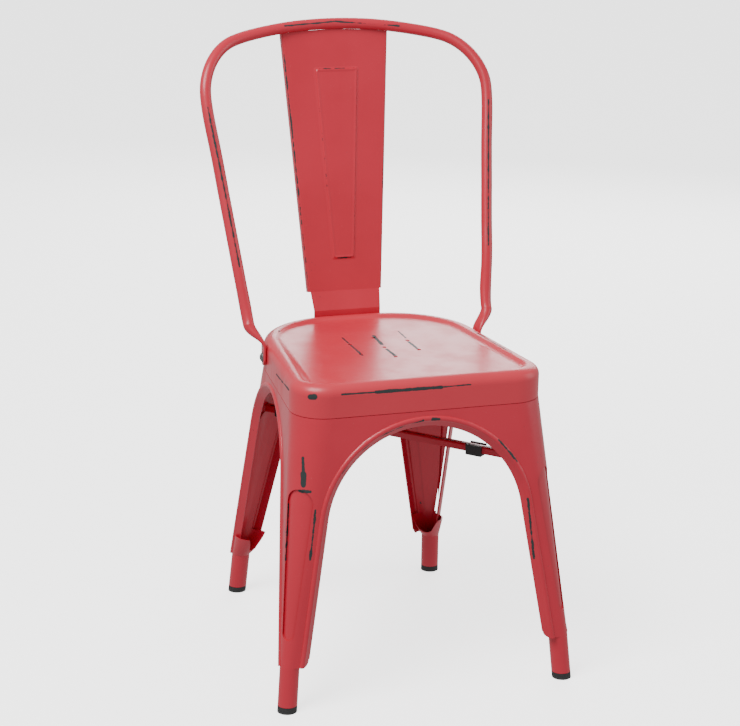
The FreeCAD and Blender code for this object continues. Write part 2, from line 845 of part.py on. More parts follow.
def hoop_stations():
    """Points and directions along the tube, from the right lower bend to the middle of the crown."""
    low = hoop_side_point(size("hoop_foot_height"))
    high = on_shoulder(-side_lean)
    rise = (high - low).normalize()
    side_steps = 5
    stations = [(low + (high - low) * (step / side_steps), rise) for step in range(side_steps + 1)]
    nudge = 0.001
    shoulder_steps = 8
    for step in range(1, shoulder_steps + 1):
        turn = (math.pi / 2 - shoulder_turn) * step / shoulder_steps
        along = on_shoulder(turn + nudge) - on_shoulder(turn - nudge)
        stations.append((on_shoulder(turn), along.normalize()))
    crown_steps = 4
    for step in range(1, crown_steps + 1):
        turn = shoulder_turn * (1 - step / crown_steps)
        along = on_crown(turn - nudge) - on_crown(turn + nudge)
        stations.append((on_crown(turn), along.normalize()))
    return stations


def pressed_section(centre, along, across, squash):
    """Closed section of the tube: four arcs that go from a circle to a flat round-ended bar."""
    facing = along.cross(across).normalize()
    wide = facing.cross(along).normalize()
    diagonal = hoop_radius * math.sqrt(0.5)
    half_width = size("tab_width") / 2
    half_thick = size("tab_thickness") / 2
    corner_x = mix(diagonal, half_width - half_thick, squash)
    corner_y = mix(diagonal, half_thick, squash)
    reach = mix(hoop_radius, half_width, squash)
    rise = mix(hoop_radius, half_thick, squash)

    def at(sideways, out):
        return centre + wide * sideways + facing * out

    def bend(start, middle, end, flat):
        if flat:
            return Part.makeLine(start, end)
        return Part.Arc(start, middle, end).toShape()

    flat = squash > 0.999
    return Part.Wire([
        bend(at(corner_x, -corner_y), at(reach, 0), at(corner_x, corner_y), False),
        bend(at(corner_x, corner_y), at(0, rise), at(-corner_x, corner_y), flat),
        bend(at(-corner_x, corner_y), at(-reach, 0), at(-corner_x, -corner_y), False),
        bend(at(-corner_x, -corner_y), at(0, -rise), at(corner_x, -corner_y), flat),
    ])


def hoop_foot():
    """Right foot of the hoop: the bend below the straight tube and the flat tab."""
    bend_start = hoop_side_point(size("hoop_foot_height"))
    down = (bend_start - hoop_side_point(size("hoop_foot_height") + 1)).normalize()
    plumb = Vector(0, 0, -1)
    offset = size("tab_clearance") + size("tab_thickness") / 2
    bend_end = side_point(offset, size("bolt_setback"), size("tab_top"))
    along_wall = Vector(-taper, 1, 0).normalize()
    pull = 0.9 * (bend_end - bend_start).Length
    sections = []
    steps = 8
    for step in range(steps + 1):
        share = step / steps
        ease = share ** 2 * (3 - 2 * share)
        start_pull = (share ** 3 - 2 * share ** 2 + share) * pull
        end_pull = (share ** 3 - share ** 2) * pull
        centre = bend_start * (1 - ease) + bend_end * ease + down * start_pull + plumb * end_pull
        slope = (bend_end - bend_start) * (6 * share * (1 - share))
        slope += down * ((3 * share ** 2 - 4 * share + 1) * pull)
        slope += plumb * ((3 * share ** 2 - 2 * share) * pull)
        sections.append(pressed_section(centre, slope.normalize(), along_wall, ease))
    bend = Part.makeLoft(sections, True, False)
    tab_end = size("bolt_height") - size("tab_width") / 2
    bar = Part.Face(sections[-1]).extrude(plumb * (size("tab_top") - tab_end))
    hub = side_point(-offset, size("bolt_setback"), size("bolt_height"))
    disc = Part.makeCylinder(size("tab_width") / 2, 4 * offset, hub, side_normal)
    above = Part.makeBox(80, 80, size("tab_top") - size("bolt_height") + 1)
    above.translate(Vector(bend_end.x - 40, bend_end.y - 40, size("bolt_height")))
    tab = bar.common(disc.fuse(above))
    return bend.fuse(tab).cut(hole_through_side(bolt_hole))


def hoop_tube():
    """The round tube from one lower bend over the crown to the other."""
    stations = hoop_stations()
    for place, along in reversed(stations[:-1]):
        stations.append((Vector(-place.x, place.y, place.z), Vector(along.x, -along.y, -along.z)))
    rings = [pressed_section(place, along, Vector(0, 1, 0), 0) for place, along in stations]
    return Part.makeLoft(rings, True, False)


right_foot = hoop_foot()
left_foot = right_foot.mirror(Vector(0, 0, 0), Vector(1, 0, 0))
hoop_shape = hoop_tube().fuse([right_foot, left_foot])
finish_piece(made_shape("back_hoop", hoop_shape), "back_hoop")

# Back splat: a flanged board with a raised panel, kicked forwards to a riveted tab

LEAN = "(Sizes.splat_lean * 1deg)"
KICK = "(Sizes.splat_kick * 1deg)"
FLARE = "((Sizes.splat_top_half_width - Sizes.kink_half_width) / Sizes.splat_length)"

board = doc.addObject("PartDesign::Body", "splat_board")


def ruled_loft(body, kind, name, plans):
    """A straight-sided solid from the first sketch to the last, added to or cut from the body."""
    loft = body.newObject(f"PartDesign::{kind}Loft", name)
    loft.Profile = plans[0]
    loft.Sections = plans[1:]
    loft.Ruled = True
    doc.recompute()
    return loft


def board_section(name, height, inset, back):
    """Level section of the board at a distance up it, with the two bent front corners."""
    plan = flat_sketch(board, name, "XY_Plane", height)
    half = f"(Sizes.kink_half_width + {FLARE} * ({height}) - {inset})"
    bend = f"(Sizes.splat_bend - {inset})"
    outline(plan, [
        (f"-({half} - {bend})", inset),
        (f"{half} - {bend}", inset),
        (half, f"{inset} + {bend}"),
        (half, back),
        (f"-{half}", back),
        (f"-{half}", f"{inset} + {bend}"),
    ], {1: bend, 5: bend})
    return plan


outer_plans = [
    board_section("board_foot_plan", "0", "0", "Sizes.splat_flange"),
    board_section("board_head_plan", "Sizes.splat_length + 10", "0", "Sizes.splat_flange"),
]
board_block = ruled_loft(board, "Additive", "board_block", outer_plans)
inner_plans = [
    board_section("hollow_foot_plan", "-5", "Sizes.splat_sheet", "Sizes.splat_flange + 1"),
    board_section("hollow_head_plan", "Sizes.splat_length + 20", "Sizes.splat_sheet", "Sizes.splat_flange + 1"),
]
board_hollow = ruled_loft(board, "Subtractive", "board_hollow", inner_plans)
assert board_hollow.Shape.Volume < 0.5 * board_block.Shape.Volume

PANEL_SLANT = (
    "atan((Sizes.emboss_top_half_width - Sizes.emboss_bottom_half_width)"
    " / (Sizes.emboss_top - Sizes.emboss_bottom))"
)


def panel_section(name, lift, inset):
    """Outline of the raised panel on a plane in front of or behind the face, moved inwards."""
    plan = flat_sketch(board, name, "XZ_Plane", lift)
    low = f"(Sizes.emboss_bottom + {inset})"
    high = f"(Sizes.emboss_top - {inset})"
    narrow = f"(Sizes.emboss_bottom_half_width + {inset} * tan({PANEL_SLANT}) - {inset} / cos({PANEL_SLANT}))"
    wide = f"(Sizes.emboss_top_half_width - {inset} * tan({PANEL_SLANT}) - {inset} / cos({PANEL_SLANT}))"
    radius = f"(Sizes.emboss_corner - {inset})"
    foot = f"({radius} * tan(45deg - {PANEL_SLANT} / 2))"
    head = f"({radius} * tan(45deg + {PANEL_SLANT} / 2))"
    low_side = (f"({narrow} + {foot} * sin({PANEL_SLANT}))", f"{low} + {foot} * cos({PANEL_SLANT})")
    high_side = (f"({wide} - {head} * sin({PANEL_SLANT}))", f"{high} - {head} * cos({PANEL_SLANT})")
    outline(plan, [
        (f"-({narrow} - {foot})", low),
        (f"{narrow} - {foot}", low),
        low_side,
        high_side,
        (f"{wide} - {head}", high),
        (f"-({wide} - {head})", high),
        (f"-{high_side[0]}", high_side[1]),
        (f"-{low_side[0]}", low_side[1]),
    ], {1: radius, 3: radius, 5: radius, 7: radius})
    return plan


PANEL_STEP = "(Sizes.emboss_rise / tan(Sizes.emboss_slope * 1deg))"
PANEL_BACK = "(Sizes.splat_sheet * tan(Sizes.emboss_slope * 0.5deg))"
panel = ruled_loft(board, "Additive", "raised_panel", [
    panel_section("panel_foot", "0", "0"),
    panel_section("panel_face", "Sizes.emboss_rise", PANEL_STEP),
])
assert panel.Shape.Volume > board_hollow.Shape.Volume
recess = ruled_loft(board, "Subtractive", "panel_recess", [
    panel_section("recess_mouth", "-Sizes.splat_sheet", PANEL_BACK),
    panel_section("recess_floor", "Sizes.emboss_rise - Sizes.splat_sheet", f"({PANEL_BACK} + {PANEL_STEP})"),
])
assert recess.Shape.Volume < panel.Shape.Volume
kink = Vector(0, size("kink_setback"), size("kink_height"))
board.Placement = Placement(kink, Rotation(Vector(1, 0, 0), -size("splat_lean")))
disc_drop = math.sqrt(size("hoop_crown") ** 2 - size("splat_top_half_width") ** 2)
disc_centre = Vector(0, -20, size("splat_length") - disc_drop)
crown_disc = doc.addObject("Part::Cylinder", "crown_disc")
crown_disc.setExpression("Radius", "Sizes.hoop_crown")
crown_disc.Height = 60
facing_back = Rotation(Vector(0, 0, 1), Vector(0, 1, 0))
crown_disc.Placement = board.Placement * Placement(disc_centre, facing_back)
board_trimmed = boolean("Common", "board_trimmed", board, crown_disc)

TAB_FACE = "(Sizes.seat_rear + Sizes.tab_clearance)"
KNEE = f"(Sizes.kink_height - (Sizes.kink_setback - {TAB_FACE}) / tan({KICK}))"
MITRE = f"(Sizes.splat_sheet * tan(({KICK} - {LEAN}) / 2))"
kick = doc.addObject("PartDesign::Body", "splat_kick_body")
kick_profile = flat_sketch(kick, "kick_profile", "YZ_Plane")
outline(kick_profile, [
    ("Sizes.kink_setback", "Sizes.kink_height"),
    (TAB_FACE, KNEE),
    (TAB_FACE, "Sizes.splat_tab_bottom"),
    (f"{TAB_FACE} + Sizes.splat_sheet", "Sizes.splat_tab_bottom"),
    (f"{TAB_FACE} + Sizes.splat_sheet", f"{KNEE} - Sizes.splat_sheet * tan({KICK} / 2)"),
    (
        f"Sizes.kink_setback + Sizes.splat_sheet * cos({LEAN}) - {MITRE} * sin({LEAN})",
        f"Sizes.kink_height - Sizes.splat_sheet * sin({LEAN}) - {MITRE} * cos({LEAN})",
    ),
    (
        f"Sizes.kink_setback + Sizes.splat_sheet * cos({LEAN})",
        f"Sizes.kink_height - Sizes.splat_sheet * sin({LEAN})",
    ),
])
kick_pad = kick.newObject("PartDesign::Pad", "kick_pad")
kick_pad.Profile = kick_profile
kick_pad.SideType = "Symmetric"
kick_pad.setExpression("Length", "2 * Sizes.splat_top_half_width")
doc.recompute()

kick_front = doc.addObject("PartDesign::Body", "splat_kick_front")
front_plan = flat_sketch(kick_front, "kick_front_plan", "XZ_Plane", "-(Sizes.kink_setback + 20)")
KICK_HALF = "(Sizes.kink_half_width - Sizes.splat_bend)"
outline(front_plan, [
    ("-Sizes.splat_tab_half_width", "Sizes.splat_tab_bottom"),
    ("Sizes.splat_tab_half_width", "Sizes.splat_tab_bottom"),
    ("Sizes.splat_tab_half_width", KNEE),
    (KICK_HALF, "Sizes.kink_height"),
    (KICK_HALF, "Sizes.kink_height + 5"),
    (f"-{KICK_HALF}", "Sizes.kink_height + 5"),
    (f"-{KICK_HALF}", "Sizes.kink_height"),
    ("-Sizes.splat_tab_half_width", KNEE),
])
front_pad = kick_front.newObject("PartDesign::Pad", "kick_front_pad")
front_pad.Profile = front_plan
front_pad.Length = 60
doc.recompute()


def low_corner(edge):
    """A test that picks the level edges at the tab's two lower corners."""
    ends = [vertex.Point for vertex in edge.Vertexes]
    return all(abs(end.z - size("splat_tab_bottom")) < 0.01 for end in ends) and (
        abs(ends[0].x - ends[-1].x) < 0.01
    )


tab_corners = edge_names(front_pad.Shape, low_corner)
rounded(kick_front, "tab_rounds", front_pad, tab_corners, "Sizes.splat_tab_corner")
kicked_tab = boolean("Common", "kicked_tab", kick, kick_front)
splat_blank = joined("splat_blank", [board_trimmed, kicked_tab])
splat_reach = 1.4 * size("splat_top_half_width")
rail_points = []
for step in range(-4, 5):
    across = splat_reach * step / 4
    rail_points.append(bowed(across, crown_top - crown + math.sqrt(crown ** 2 - across ** 2)))
rail_curve = Part.BSplineCurve()
rail_curve.interpolate(Points=rail_points)
rail_ring = Part.makeCircle(hoop_radius + size("tab_clearance"), rail_points[0], rail_curve.tangent(0)[0])
rail_room = Part.Wire(rail_curve.toShape()).makePipeShell([Part.Wire(rail_ring)], True, True)
hoop_room = made_shape("hoop_room", rail_room)
splat_drills = []
for side, name in ((1, "right"), (-1, "left")):
    start = Vector(side * size("rivet_half_spacing"), size("seat_rear") - DRILL_REACH, size("rivet_height"))
    splat_drills.append(drill(f"splat_rivet_drill_{name}", RIVET_HOLE, start, Vector(0, 1, 0)))
splat_drilled = boolean("Cut", "splat_drilled", splat_blank, joined("splat_drills", splat_drills))
splat = boolean("Cut", "back_splat", splat_drilled, hoop_room)
finish_piece(splat, "back_splat")

# Bolts, nuts and rivets


def turned_body(name, corners, radii):
    """A body turned about its own upright axis from half a section."""
    body = doc.addObject("PartDesign::Body", name)
    section = flat_sketch(body, f"{name}_section", "XZ_Plane")
    outline(section, corners, radii)
    turn = body.newObject("PartDesign::Revolution", f"{name}_turn")
    turn.Profile = section
    turn.ReferenceAxis = (section, ["V_Axis"])
    turn.Angle = 360
    doc.recompute()
    return body


def dome(radius, rise):
    """Radius of the ball whose cap has a given radius and rise."""
    return f"(({radius}) ^ 2 + ({rise}) ^ 2) / (2 * {rise})"


STACK = "(Sizes.seat_sheet + Sizes.band_clearance + Sizes.leg_sheet + Sizes.head_clearance)"
BOLT_GRIP = f"(Sizes.tab_clearance + Sizes.tab_thickness + Sizes.head_clearance + {STACK})"
BOLT_LENGTH = f"({BOLT_GRIP} + Sizes.nut_height + Sizes.bolt_end)"
bolt = turned_body("hoop_bolt_right", [
    ("0", f"-{BOLT_LENGTH}"),
    ("Sizes.bolt_diameter / 2", f"-{BOLT_LENGTH}"),
    ("Sizes.bolt_diameter / 2", "0"),
    ("Sizes.bolt_head_diameter / 2", "0"),
    ("0", "Sizes.bolt_head_height"),
], {3: dome("Sizes.bolt_head_diameter / 2", "Sizes.bolt_head_height")})
head_offset = size("tab_clearance") + size("tab_thickness") + size("head_clearance")
head_seat = side_point(head_offset, size("bolt_setback"), size("bolt_height"))
outwards = Rotation(Vector(0, 0, 1), side_normal)
bolt.Placement = Placement(head_seat, outwards)
finish_piece(bolt, "hoop_bolt_right")
mirrored("hoop_bolt_left", bolt)

nut_seat = side_point(-evaluate(STACK) - size("nut_height"), size("bolt_setback"), size("bolt_height"))
nut_block = doc.addObject("Part::Prism", "nut_block")
nut_block.Polygon = 6
nut_block.setExpression("Circumradius", "Sizes.nut_flats / 2 / cos(30deg)")
nut_block.setExpression("Height", "Sizes.nut_height")
nut_block.Placement = Placement(nut_seat, outwards)
nut_bore = drill("nut_bore", BOLT_HOLE, nut_seat - side_normal, side_normal)
nut = boolean("Cut", "hoop_nut_right", nut_block, nut_bore)
finish_piece(nut, "hoop_nut_right")
mirrored("hoop_nut_left", nut)

RIVET_GRIP = f"(Sizes.tab_clearance + Sizes.splat_sheet + Sizes.head_clearance + {STACK})"
rivet = turned_body("rivet_right", [
    ("0", f"-({RIVET_GRIP} + Sizes.rivet_tail_height)"),
    ("Sizes.rivet_head_diameter * 0.4", f"-({RIVET_GRIP} + Sizes.rivet_tail_height)"),
    ("Sizes.rivet_head_diameter * 0.4", f"-{RIVET_GRIP}"),
    ("Sizes.rivet_diameter / 2", f"-{RIVET_GRIP}"),
    ("Sizes.rivet_diameter / 2", "0"),
    ("Sizes.rivet_head_diameter / 2", "0"),
    ("0", "Sizes.rivet_head_height"),
], {5: dome("Sizes.rivet_head_diameter / 2", "Sizes.rivet_head_height")})
rivet_setback = size("seat_rear") + size("tab_clearance") + size("splat_sheet") + size("head_clearance")
rivet_seat = Vector(size("rivet_half_spacing"), rivet_setback, size("rivet_height"))
rivet.Placement = Placement(rivet_seat, Rotation(Vector(0, 0, 1), Vector(0, 1, 0)))
rivet_twin = doc.addObject("Part::Mirroring", "rivet_left")
rivet_twin.Source = rivet
rivet_twin.Normal = Vector(1, 0, 0)
rivets = doc.addObject("Part::Compound", "splat_rivets")
rivets.Links = [rivet, rivet_twin]
finish_piece(rivets, "splat_rivets")

# Cross brace: two channels that lap at the middle and reach the legs' inner corners

room_low = size("brace_height") - 2 * size("brace_depth")
room_high = size("brace_height") + 2 * size("brace_depth")
room_inset = size("leg_sheet") + size("weld_gap")
room_quarters = []
for end in (-1, 1):
    quarter = Leg(end).pyramid(room_low, room_high, room_inset, 2)
    room_quarters.append(quarter)
    room_quarters.append(quarter.mirror(Vector(0, 0, 0), Vector(1, 0, 0)))
leg_room = made_shape("leg_room", room_quarters[0].fuse(room_quarters[1:]).removeSplitter())

brace_middle = Vector(0, size("brace_crossing"), size("brace_height"))
BAR_HALF = "(Sizes.brace_width / 2)"
BAR_TOP = "(Sizes.brace_depth / 2)"
CROSSING = "(2 * Sizes.brace_angle * 1deg)"


def brace_turn(side):
    """Rotation that lays a bar's own X axis along the diagonal towards the front."""
    return Rotation(Vector(0, 0, 1), side * (size("brace_angle") - 90) + (0 if side > 0 else 180))


def brace_bar(name, side, laps_over):
    """One diagonal bar; the upper one is notched from below, the lower one from above."""
    body = doc.addObject("PartDesign::Body", f"{name}_channel")
    section = flat_sketch(body, f"{name}_section", "YZ_Plane")
    wall = f"({BAR_HALF} - Sizes.brace_sheet)"
    web = f"({BAR_TOP} - Sizes.brace_sheet)"
    outline(section, [
        (f"-{BAR_HALF}", f"-{BAR_TOP}"),
        (f"-{wall}", f"-{BAR_TOP}"),
        (f"-{wall}", web),
        (wall, web),
        (wall, f"-{BAR_TOP}"),
        (BAR_HALF, f"-{BAR_TOP}"),
        (BAR_HALF, BAR_TOP),
        (f"-{BAR_HALF}", BAR_TOP),
    ])
    channel = body.newObject("PartDesign::Pad", f"{name}_pad")
    channel.Profile = section
    channel.SideType = "Symmetric"
    channel.setExpression("Length", "2 * Sizes.brace_overreach")
    doc.recompute()
    top = size("brace_depth") / 2
    half = size("brace_width") / 2
    skin = size("brace_sheet")

    def along(edge, across, height):
        ends = [vertex.Point for vertex in edge.Vertexes]
        return all(abs(abs(end.y) - across) < 0.01 and abs(end.z - height) < 0.01 for end in ends) and (
            abs(ends[0].x - ends[-1].x) > 1
        )

    outer_edges = edge_names(channel.Shape, lambda edge: along(edge, half, top))
    outer = rounded(body, f"{name}_outer_bend", channel, outer_edges, "Sizes.brace_bend")
    inner_edges = edge_names(outer.Shape, lambda edge: along(edge, half - skin, top - skin))
    bend = rounded(body, f"{name}_bend", outer, inner_edges, "Sizes.brace_bend - Sizes.brace_sheet")
    notch_plan = flat_sketch(body, f"{name}_notch_plan", "XY_Plane")
    reach = f"(({BAR_HALF} + Sizes.weld_gap) / sin({CROSSING}))"
    skew = f"({-side} * ({BAR_HALF} + 1) * cos({CROSSING}) / sin({CROSSING}))"
    outline(notch_plan, [
        (f"-{reach} - {skew}", f"-({BAR_HALF} + 1)"),
        (f"{reach} - {skew}", f"-({BAR_HALF} + 1)"),
        (f"{reach} + {skew}", f"{BAR_HALF} + 1"),
        (f"{skew} - {reach}", f"{BAR_HALF} + 1"),
    ])
    notch = body.newObject("PartDesign::Pocket", f"{name}_notch")
    notch.Profile = notch_plan
    notch.Reversed = not laps_over
    notch.setExpression("Length", "Sizes.brace_depth")
    doc.recompute()
    assert notch.Shape.Volume < bend.Shape.Volume
    body.Placement = Placement(brace_middle, brace_turn(side))
    return finish_piece(boolean("Common", name, body, leg_room), name)


brace_bar("cross_brace_upper", 1, True)
brace_bar("cross_brace_lower", -1, False)

# Stacking bumpers, clipped round the brace from below

CLIP_IN = f"({BAR_HALF} + Sizes.bumper_clearance)"
CLIP_OUT = f"({CLIP_IN} + Sizes.bumper_wall)"
CLIP_FLOOR = f"(-{BAR_TOP} - Sizes.bumper_clearance)"
CLIP_BASE = f"({CLIP_FLOOR} - Sizes.bumper_base)"
CLIP_TOP = f"({BAR_TOP} + Sizes.bumper_rise)"


def bumper(name, side, reach):
    body = doc.addObject("PartDesign::Body", name)
    section = flat_sketch(body, f"{name}_section", "YZ_Plane")
    outline(section, [
        (f"-{CLIP_OUT}", CLIP_BASE),
        (CLIP_OUT, CLIP_BASE),
        (CLIP_OUT, CLIP_TOP),
        (CLIP_IN, CLIP_TOP),
        (CLIP_IN, CLIP_FLOOR),
        (f"-{CLIP_IN}", CLIP_FLOOR),
        (f"-{CLIP_IN}", CLIP_TOP),
        (f"-{CLIP_OUT}", CLIP_TOP),
    ])
    clip = body.newObject("PartDesign::Pad", f"{name}_clip")
    clip.Profile = section
    clip.SideType = "Symmetric"
    clip.setExpression("Length", "Sizes.bumper_length")
    doc.recompute()
    base = evaluate(CLIP_BASE)

    def under_edge(edge):
        ends = [vertex.Point for vertex in edge.Vertexes]
        return all(abs(end.z - base) < 0.01 for end in ends)

    under = edge_names(clip.Shape, under_edge)
    softened = rounded(body, f"{name}_soft", clip, under, "Sizes.bumper_corner")
    nub_plan = flat_sketch(body, f"{name}_nub_plan", "XY_Plane", CLIP_BASE)
    nub_plan.addGeometry(Part.Circle(Vector(), Vector(0, 0, 1), size("nub_diameter") / 2))
    nub_plan.addConstraint(Sketcher.Constraint("Coincident", 0, 3, -1, 1))
    number = nub_plan.addConstraint(Sketcher.Constraint("Diameter", 0, size("nub_diameter")))
    nub_plan.setExpression(f"Constraints[{number}]", "Sizes.nub_diameter")
    nub = body.newObject("PartDesign::Pad", f"{name}_nub")
    nub.Profile = nub_plan
    nub.Reversed = True
    nub.setExpression("Length", "Sizes.nub_height")
    doc.recompute()
    assert nub.Shape.Volume > softened.Shape.Volume
    turn = brace_turn(side)
    body.Placement = Placement(brace_middle + turn.multVec(Vector(reach, 0, 0)), turn)
    return finish_piece(body, name)


front_bumper = bumper("bumper_front_right", 1, size("bumper_reach"))
mirrored("bumper_front_left", front_bumper)
rear_bumper = bumper("bumper_rear_right", -1, -size("bumper_reach"))
mirrored("bumper_rear_left", rear_bumper)

# Checks, stance and export

doc.recompute()
shift = Placement(Vector(0, size("stance_offset"), 0), Rotation())
for piece in parts.values():
    if piece.TypeId != "Part::Mirroring":
        piece.Placement = shift * piece.Placement
doc.recompute()
troubles = []
for item in doc.Objects:
    if "Invalid" in item.State or "Error" in item.State:
        troubles.append(f"{item.Name} is {item.State}")
for name, piece in parts.items():
    shape = piece.Shape
    wanted = 2 if name == "splat_rivets" else 1
    if shape.isNull() or not shape.isValid() or len(shape.Solids) != wanted:
        troubles.append(f"{name} is not {wanted} valid solid(s)")
assert not troubles, troubles

os.makedirs("parts", exist_ok=True)
for name, piece in parts.items():
    piece.Shape.exportStep(f"parts/{name}.step")
    print(name, round(piece.Shape.Volume))
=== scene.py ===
# %% [markdown]
# A pressed-steel bistro chair
#
# The chair is one rigid body. Its legs, seat, hoop and splat are pressed and bent steel, painted
# red and worn through to dark metal where people grip, lean and stack it. The CAD nodes give every
# shape, so this script adds the weld runs, the finishes, the light and the camera.

import math

import bpy
from mathutils import Matrix, Vector


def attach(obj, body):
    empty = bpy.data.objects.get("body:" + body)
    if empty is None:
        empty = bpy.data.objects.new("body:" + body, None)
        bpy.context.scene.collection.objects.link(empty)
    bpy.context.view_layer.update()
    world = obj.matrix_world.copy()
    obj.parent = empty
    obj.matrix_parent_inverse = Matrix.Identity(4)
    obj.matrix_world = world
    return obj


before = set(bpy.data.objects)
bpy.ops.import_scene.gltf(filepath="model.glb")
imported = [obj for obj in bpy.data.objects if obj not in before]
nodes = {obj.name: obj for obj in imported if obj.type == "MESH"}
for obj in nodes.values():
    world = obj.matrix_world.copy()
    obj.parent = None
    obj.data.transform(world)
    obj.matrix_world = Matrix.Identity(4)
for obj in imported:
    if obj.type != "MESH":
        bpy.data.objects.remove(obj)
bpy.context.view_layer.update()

# %% [markdown]
# Every finish is built from a few shared node groups. Writing a small helper for nodes and links
# keeps the trees readable, because a finish is then a short list of named steps. Boxes of loose
# nodes would do the same, but nobody could see which number drives which effect.

# %% Helpers for node trees


def new_group(name, inputs, outputs):
    """A shader node group with named sockets, each given as (name, socket type, default)."""
    tree = bpy.data.node_groups.new(name, "ShaderNodeTree")
    for title, kind, default in inputs:
        socket = tree.interface.new_socket(title, in_out="INPUT", socket_type=kind)
        socket.default_value = default
    for title, kind in outputs:
        tree.interface.new_socket(title, in_out="OUTPUT", socket_type=kind)
    return tree, tree.nodes.new("NodeGroupInput"), tree.nodes.new("NodeGroupOutput")


def plug(tree, socket, value):
    """Feed a socket from another socket, or set it to a constant."""
    if isinstance(value, bpy.types.NodeSocket):
        tree.links.new(value, socket)
    else:
        socket.default_value = value


def calc(tree, operation, *values, clamp=False):
    """A Math node on sockets or numbers."""
    node = tree.nodes.new("ShaderNodeMath")
    node.operation = operation
    node.use_clamp = clamp
    for socket, value in zip(node.inputs, values):
        plug(tree, socket, value)
    return node.outputs[0]


def vector_calc(tree, operation, *values, output="Vector"):
    """A Vector Math node on sockets or vectors."""
    node = tree.nodes.new("ShaderNodeVectorMath")
    node.operation = operation
    for socket, value in zip(node.inputs, values):
        plug(tree, socket, value)
    return node.outputs[output]


def ramp(tree, value, low, high, to_low=0.0, to_high=1.0):
    """A smooth step of a value between two limits."""
    node = tree.nodes.new("ShaderNodeMapRange")
    node.interpolation_type = "SMOOTHSTEP"
    limits = {"From Min": low, "From Max": high, "To Min": to_low, "To Max": to_high}
    for name, number in limits.items():
        plug(tree, node.inputs[name], number)
    plug(tree, node.inputs["Value"], value)
    return node.outputs["Result"]


def noise(tree, scale, detail, roughness, stretch=None):
    """Noise on the object's own coordinates, in metres, stretched along the axes if asked."""
    spot = tree.nodes.new("ShaderNodeTexCoord").outputs["Object"]
    if stretch:
        spot = vector_calc(tree, "MULTIPLY", spot, stretch)
    node = tree.nodes.new("ShaderNodeTexNoise")
    plug(tree, node.inputs["Vector"], spot)
    plug(tree, node.inputs["Scale"], scale)
    plug(tree, node.inputs["Detail"], detail)
    plug(tree, node.inputs["Roughness"], roughness)
    return node.outputs["Fac"]


def mixed(tree, share, first, second):
    """A colour between two colours."""
    node = tree.nodes.new("ShaderNodeMix")
    node.data_type = "RGBA"
    plug(tree, node.inputs["Factor"], share)
    plug(tree, node.inputs["A"], first)
    plug(tree, node.inputs["B"], second)
    return node.outputs["Result"]


def use(tree, group, **values):
    """A copy of a node group in a tree, its inputs set by name."""
    node = tree.nodes.new("ShaderNodeGroup")
    node.node_tree = group
    for name, value in values.items():
        plug(tree, node.inputs[name.replace("_", " ")], value)
    return node.outputs


def new_material(name):
    """A material, its node tree and its shader."""
    material = bpy.data.materials.new(name)
    material.use_nodes = True
    return material, material.node_tree, material.node_tree.nodes["Principled BSDF"]


def emboss(tree, shader, height, strength, distance):
    """Let a height tip the shader's normal. A height of one stands out by the distance."""
    bump = tree.nodes.new("ShaderNodeBump")
    bump.inputs["Strength"].default_value = strength
    bump.inputs["Distance"].default_value = distance
    tree.links.new(height, bump.inputs["Height"])
    tree.links.new(bump.outputs["Normal"], shader.inputs["Normal"])


print("helpers ready")

# %% [markdown]
# Worn paint on this chair lies in streaks: along the top of the hoop, down its left tube and round
# the arches. The same streaks paint shade on the splat: dark lines round its raised panel, where the
# pressed step turns from the light, and along the board's left edge, part wear and part the shade of
# its flange. A streak is a line in space with a thickness, and a ragged edge comes from noise added
# to the distance. Painting by hand would look as good but could not be moved or repeated, and an
# image would tie the finish to one layout of the surface.

# %% Wear and painted shade along a line
EVEN_GRAIN = 0.5
SWING_IN_RADII = 6.0


def build_streak():
    """The group that marks every spot near a line between two points."""
    tree, given, result = new_group("line_mask", [
        ("From", "NodeSocketVector", (0, 0, 0)),
        ("To", "NodeSocketVector", (0, 0, 1)),
        ("Radius", "NodeSocketFloat", 0.003),
        ("Ragged", "NodeSocketFloat", 0.5),
        ("Grain", "NodeSocketFloat", EVEN_GRAIN),
        ("Core", "NodeSocketFloat", 0.8),
    ], [("Mask", "NodeSocketFloat")])
    spot = tree.nodes.new("ShaderNodeTexCoord").outputs["Object"]
    start = given.outputs["From"]
    along = vector_calc(tree, "SUBTRACT", given.outputs["To"], start)
    offset = vector_calc(tree, "SUBTRACT", spot, start)
    reach = vector_calc(tree, "DOT_PRODUCT", offset, along, output="Value")
    span = vector_calc(tree, "DOT_PRODUCT", along, along, output="Value")
    share = calc(tree, "DIVIDE", reach, span, clamp=True)
    foot = vector_calc(tree, "SCALE", along)
    tree.links.new(share, foot.node.inputs["Scale"])
    away = vector_calc(tree, "DISTANCE", offset, foot, output="Value")
    swing = calc(tree, "SUBTRACT", given.outputs["Grain"], EVEN_GRAIN)
    swing = calc(tree, "MULTIPLY", swing, given.outputs["Ragged"])
    widest = calc(tree, "MULTIPLY", given.outputs["Radius"], SWING_IN_RADII)
    away = calc(tree, "ADD", away, calc(tree, "MULTIPLY", swing, widest))
    inner = calc(tree, "MULTIPLY", given.outputs["Radius"], given.outputs["Core"])
    mask = ramp(tree, away, inner, given.outputs["Radius"], to_low=1.0, to_high=0.0)
    tree.links.new(mask, result.inputs["Mask"])
    return tree


line_mask = build_streak()
print("group", line_mask.name)
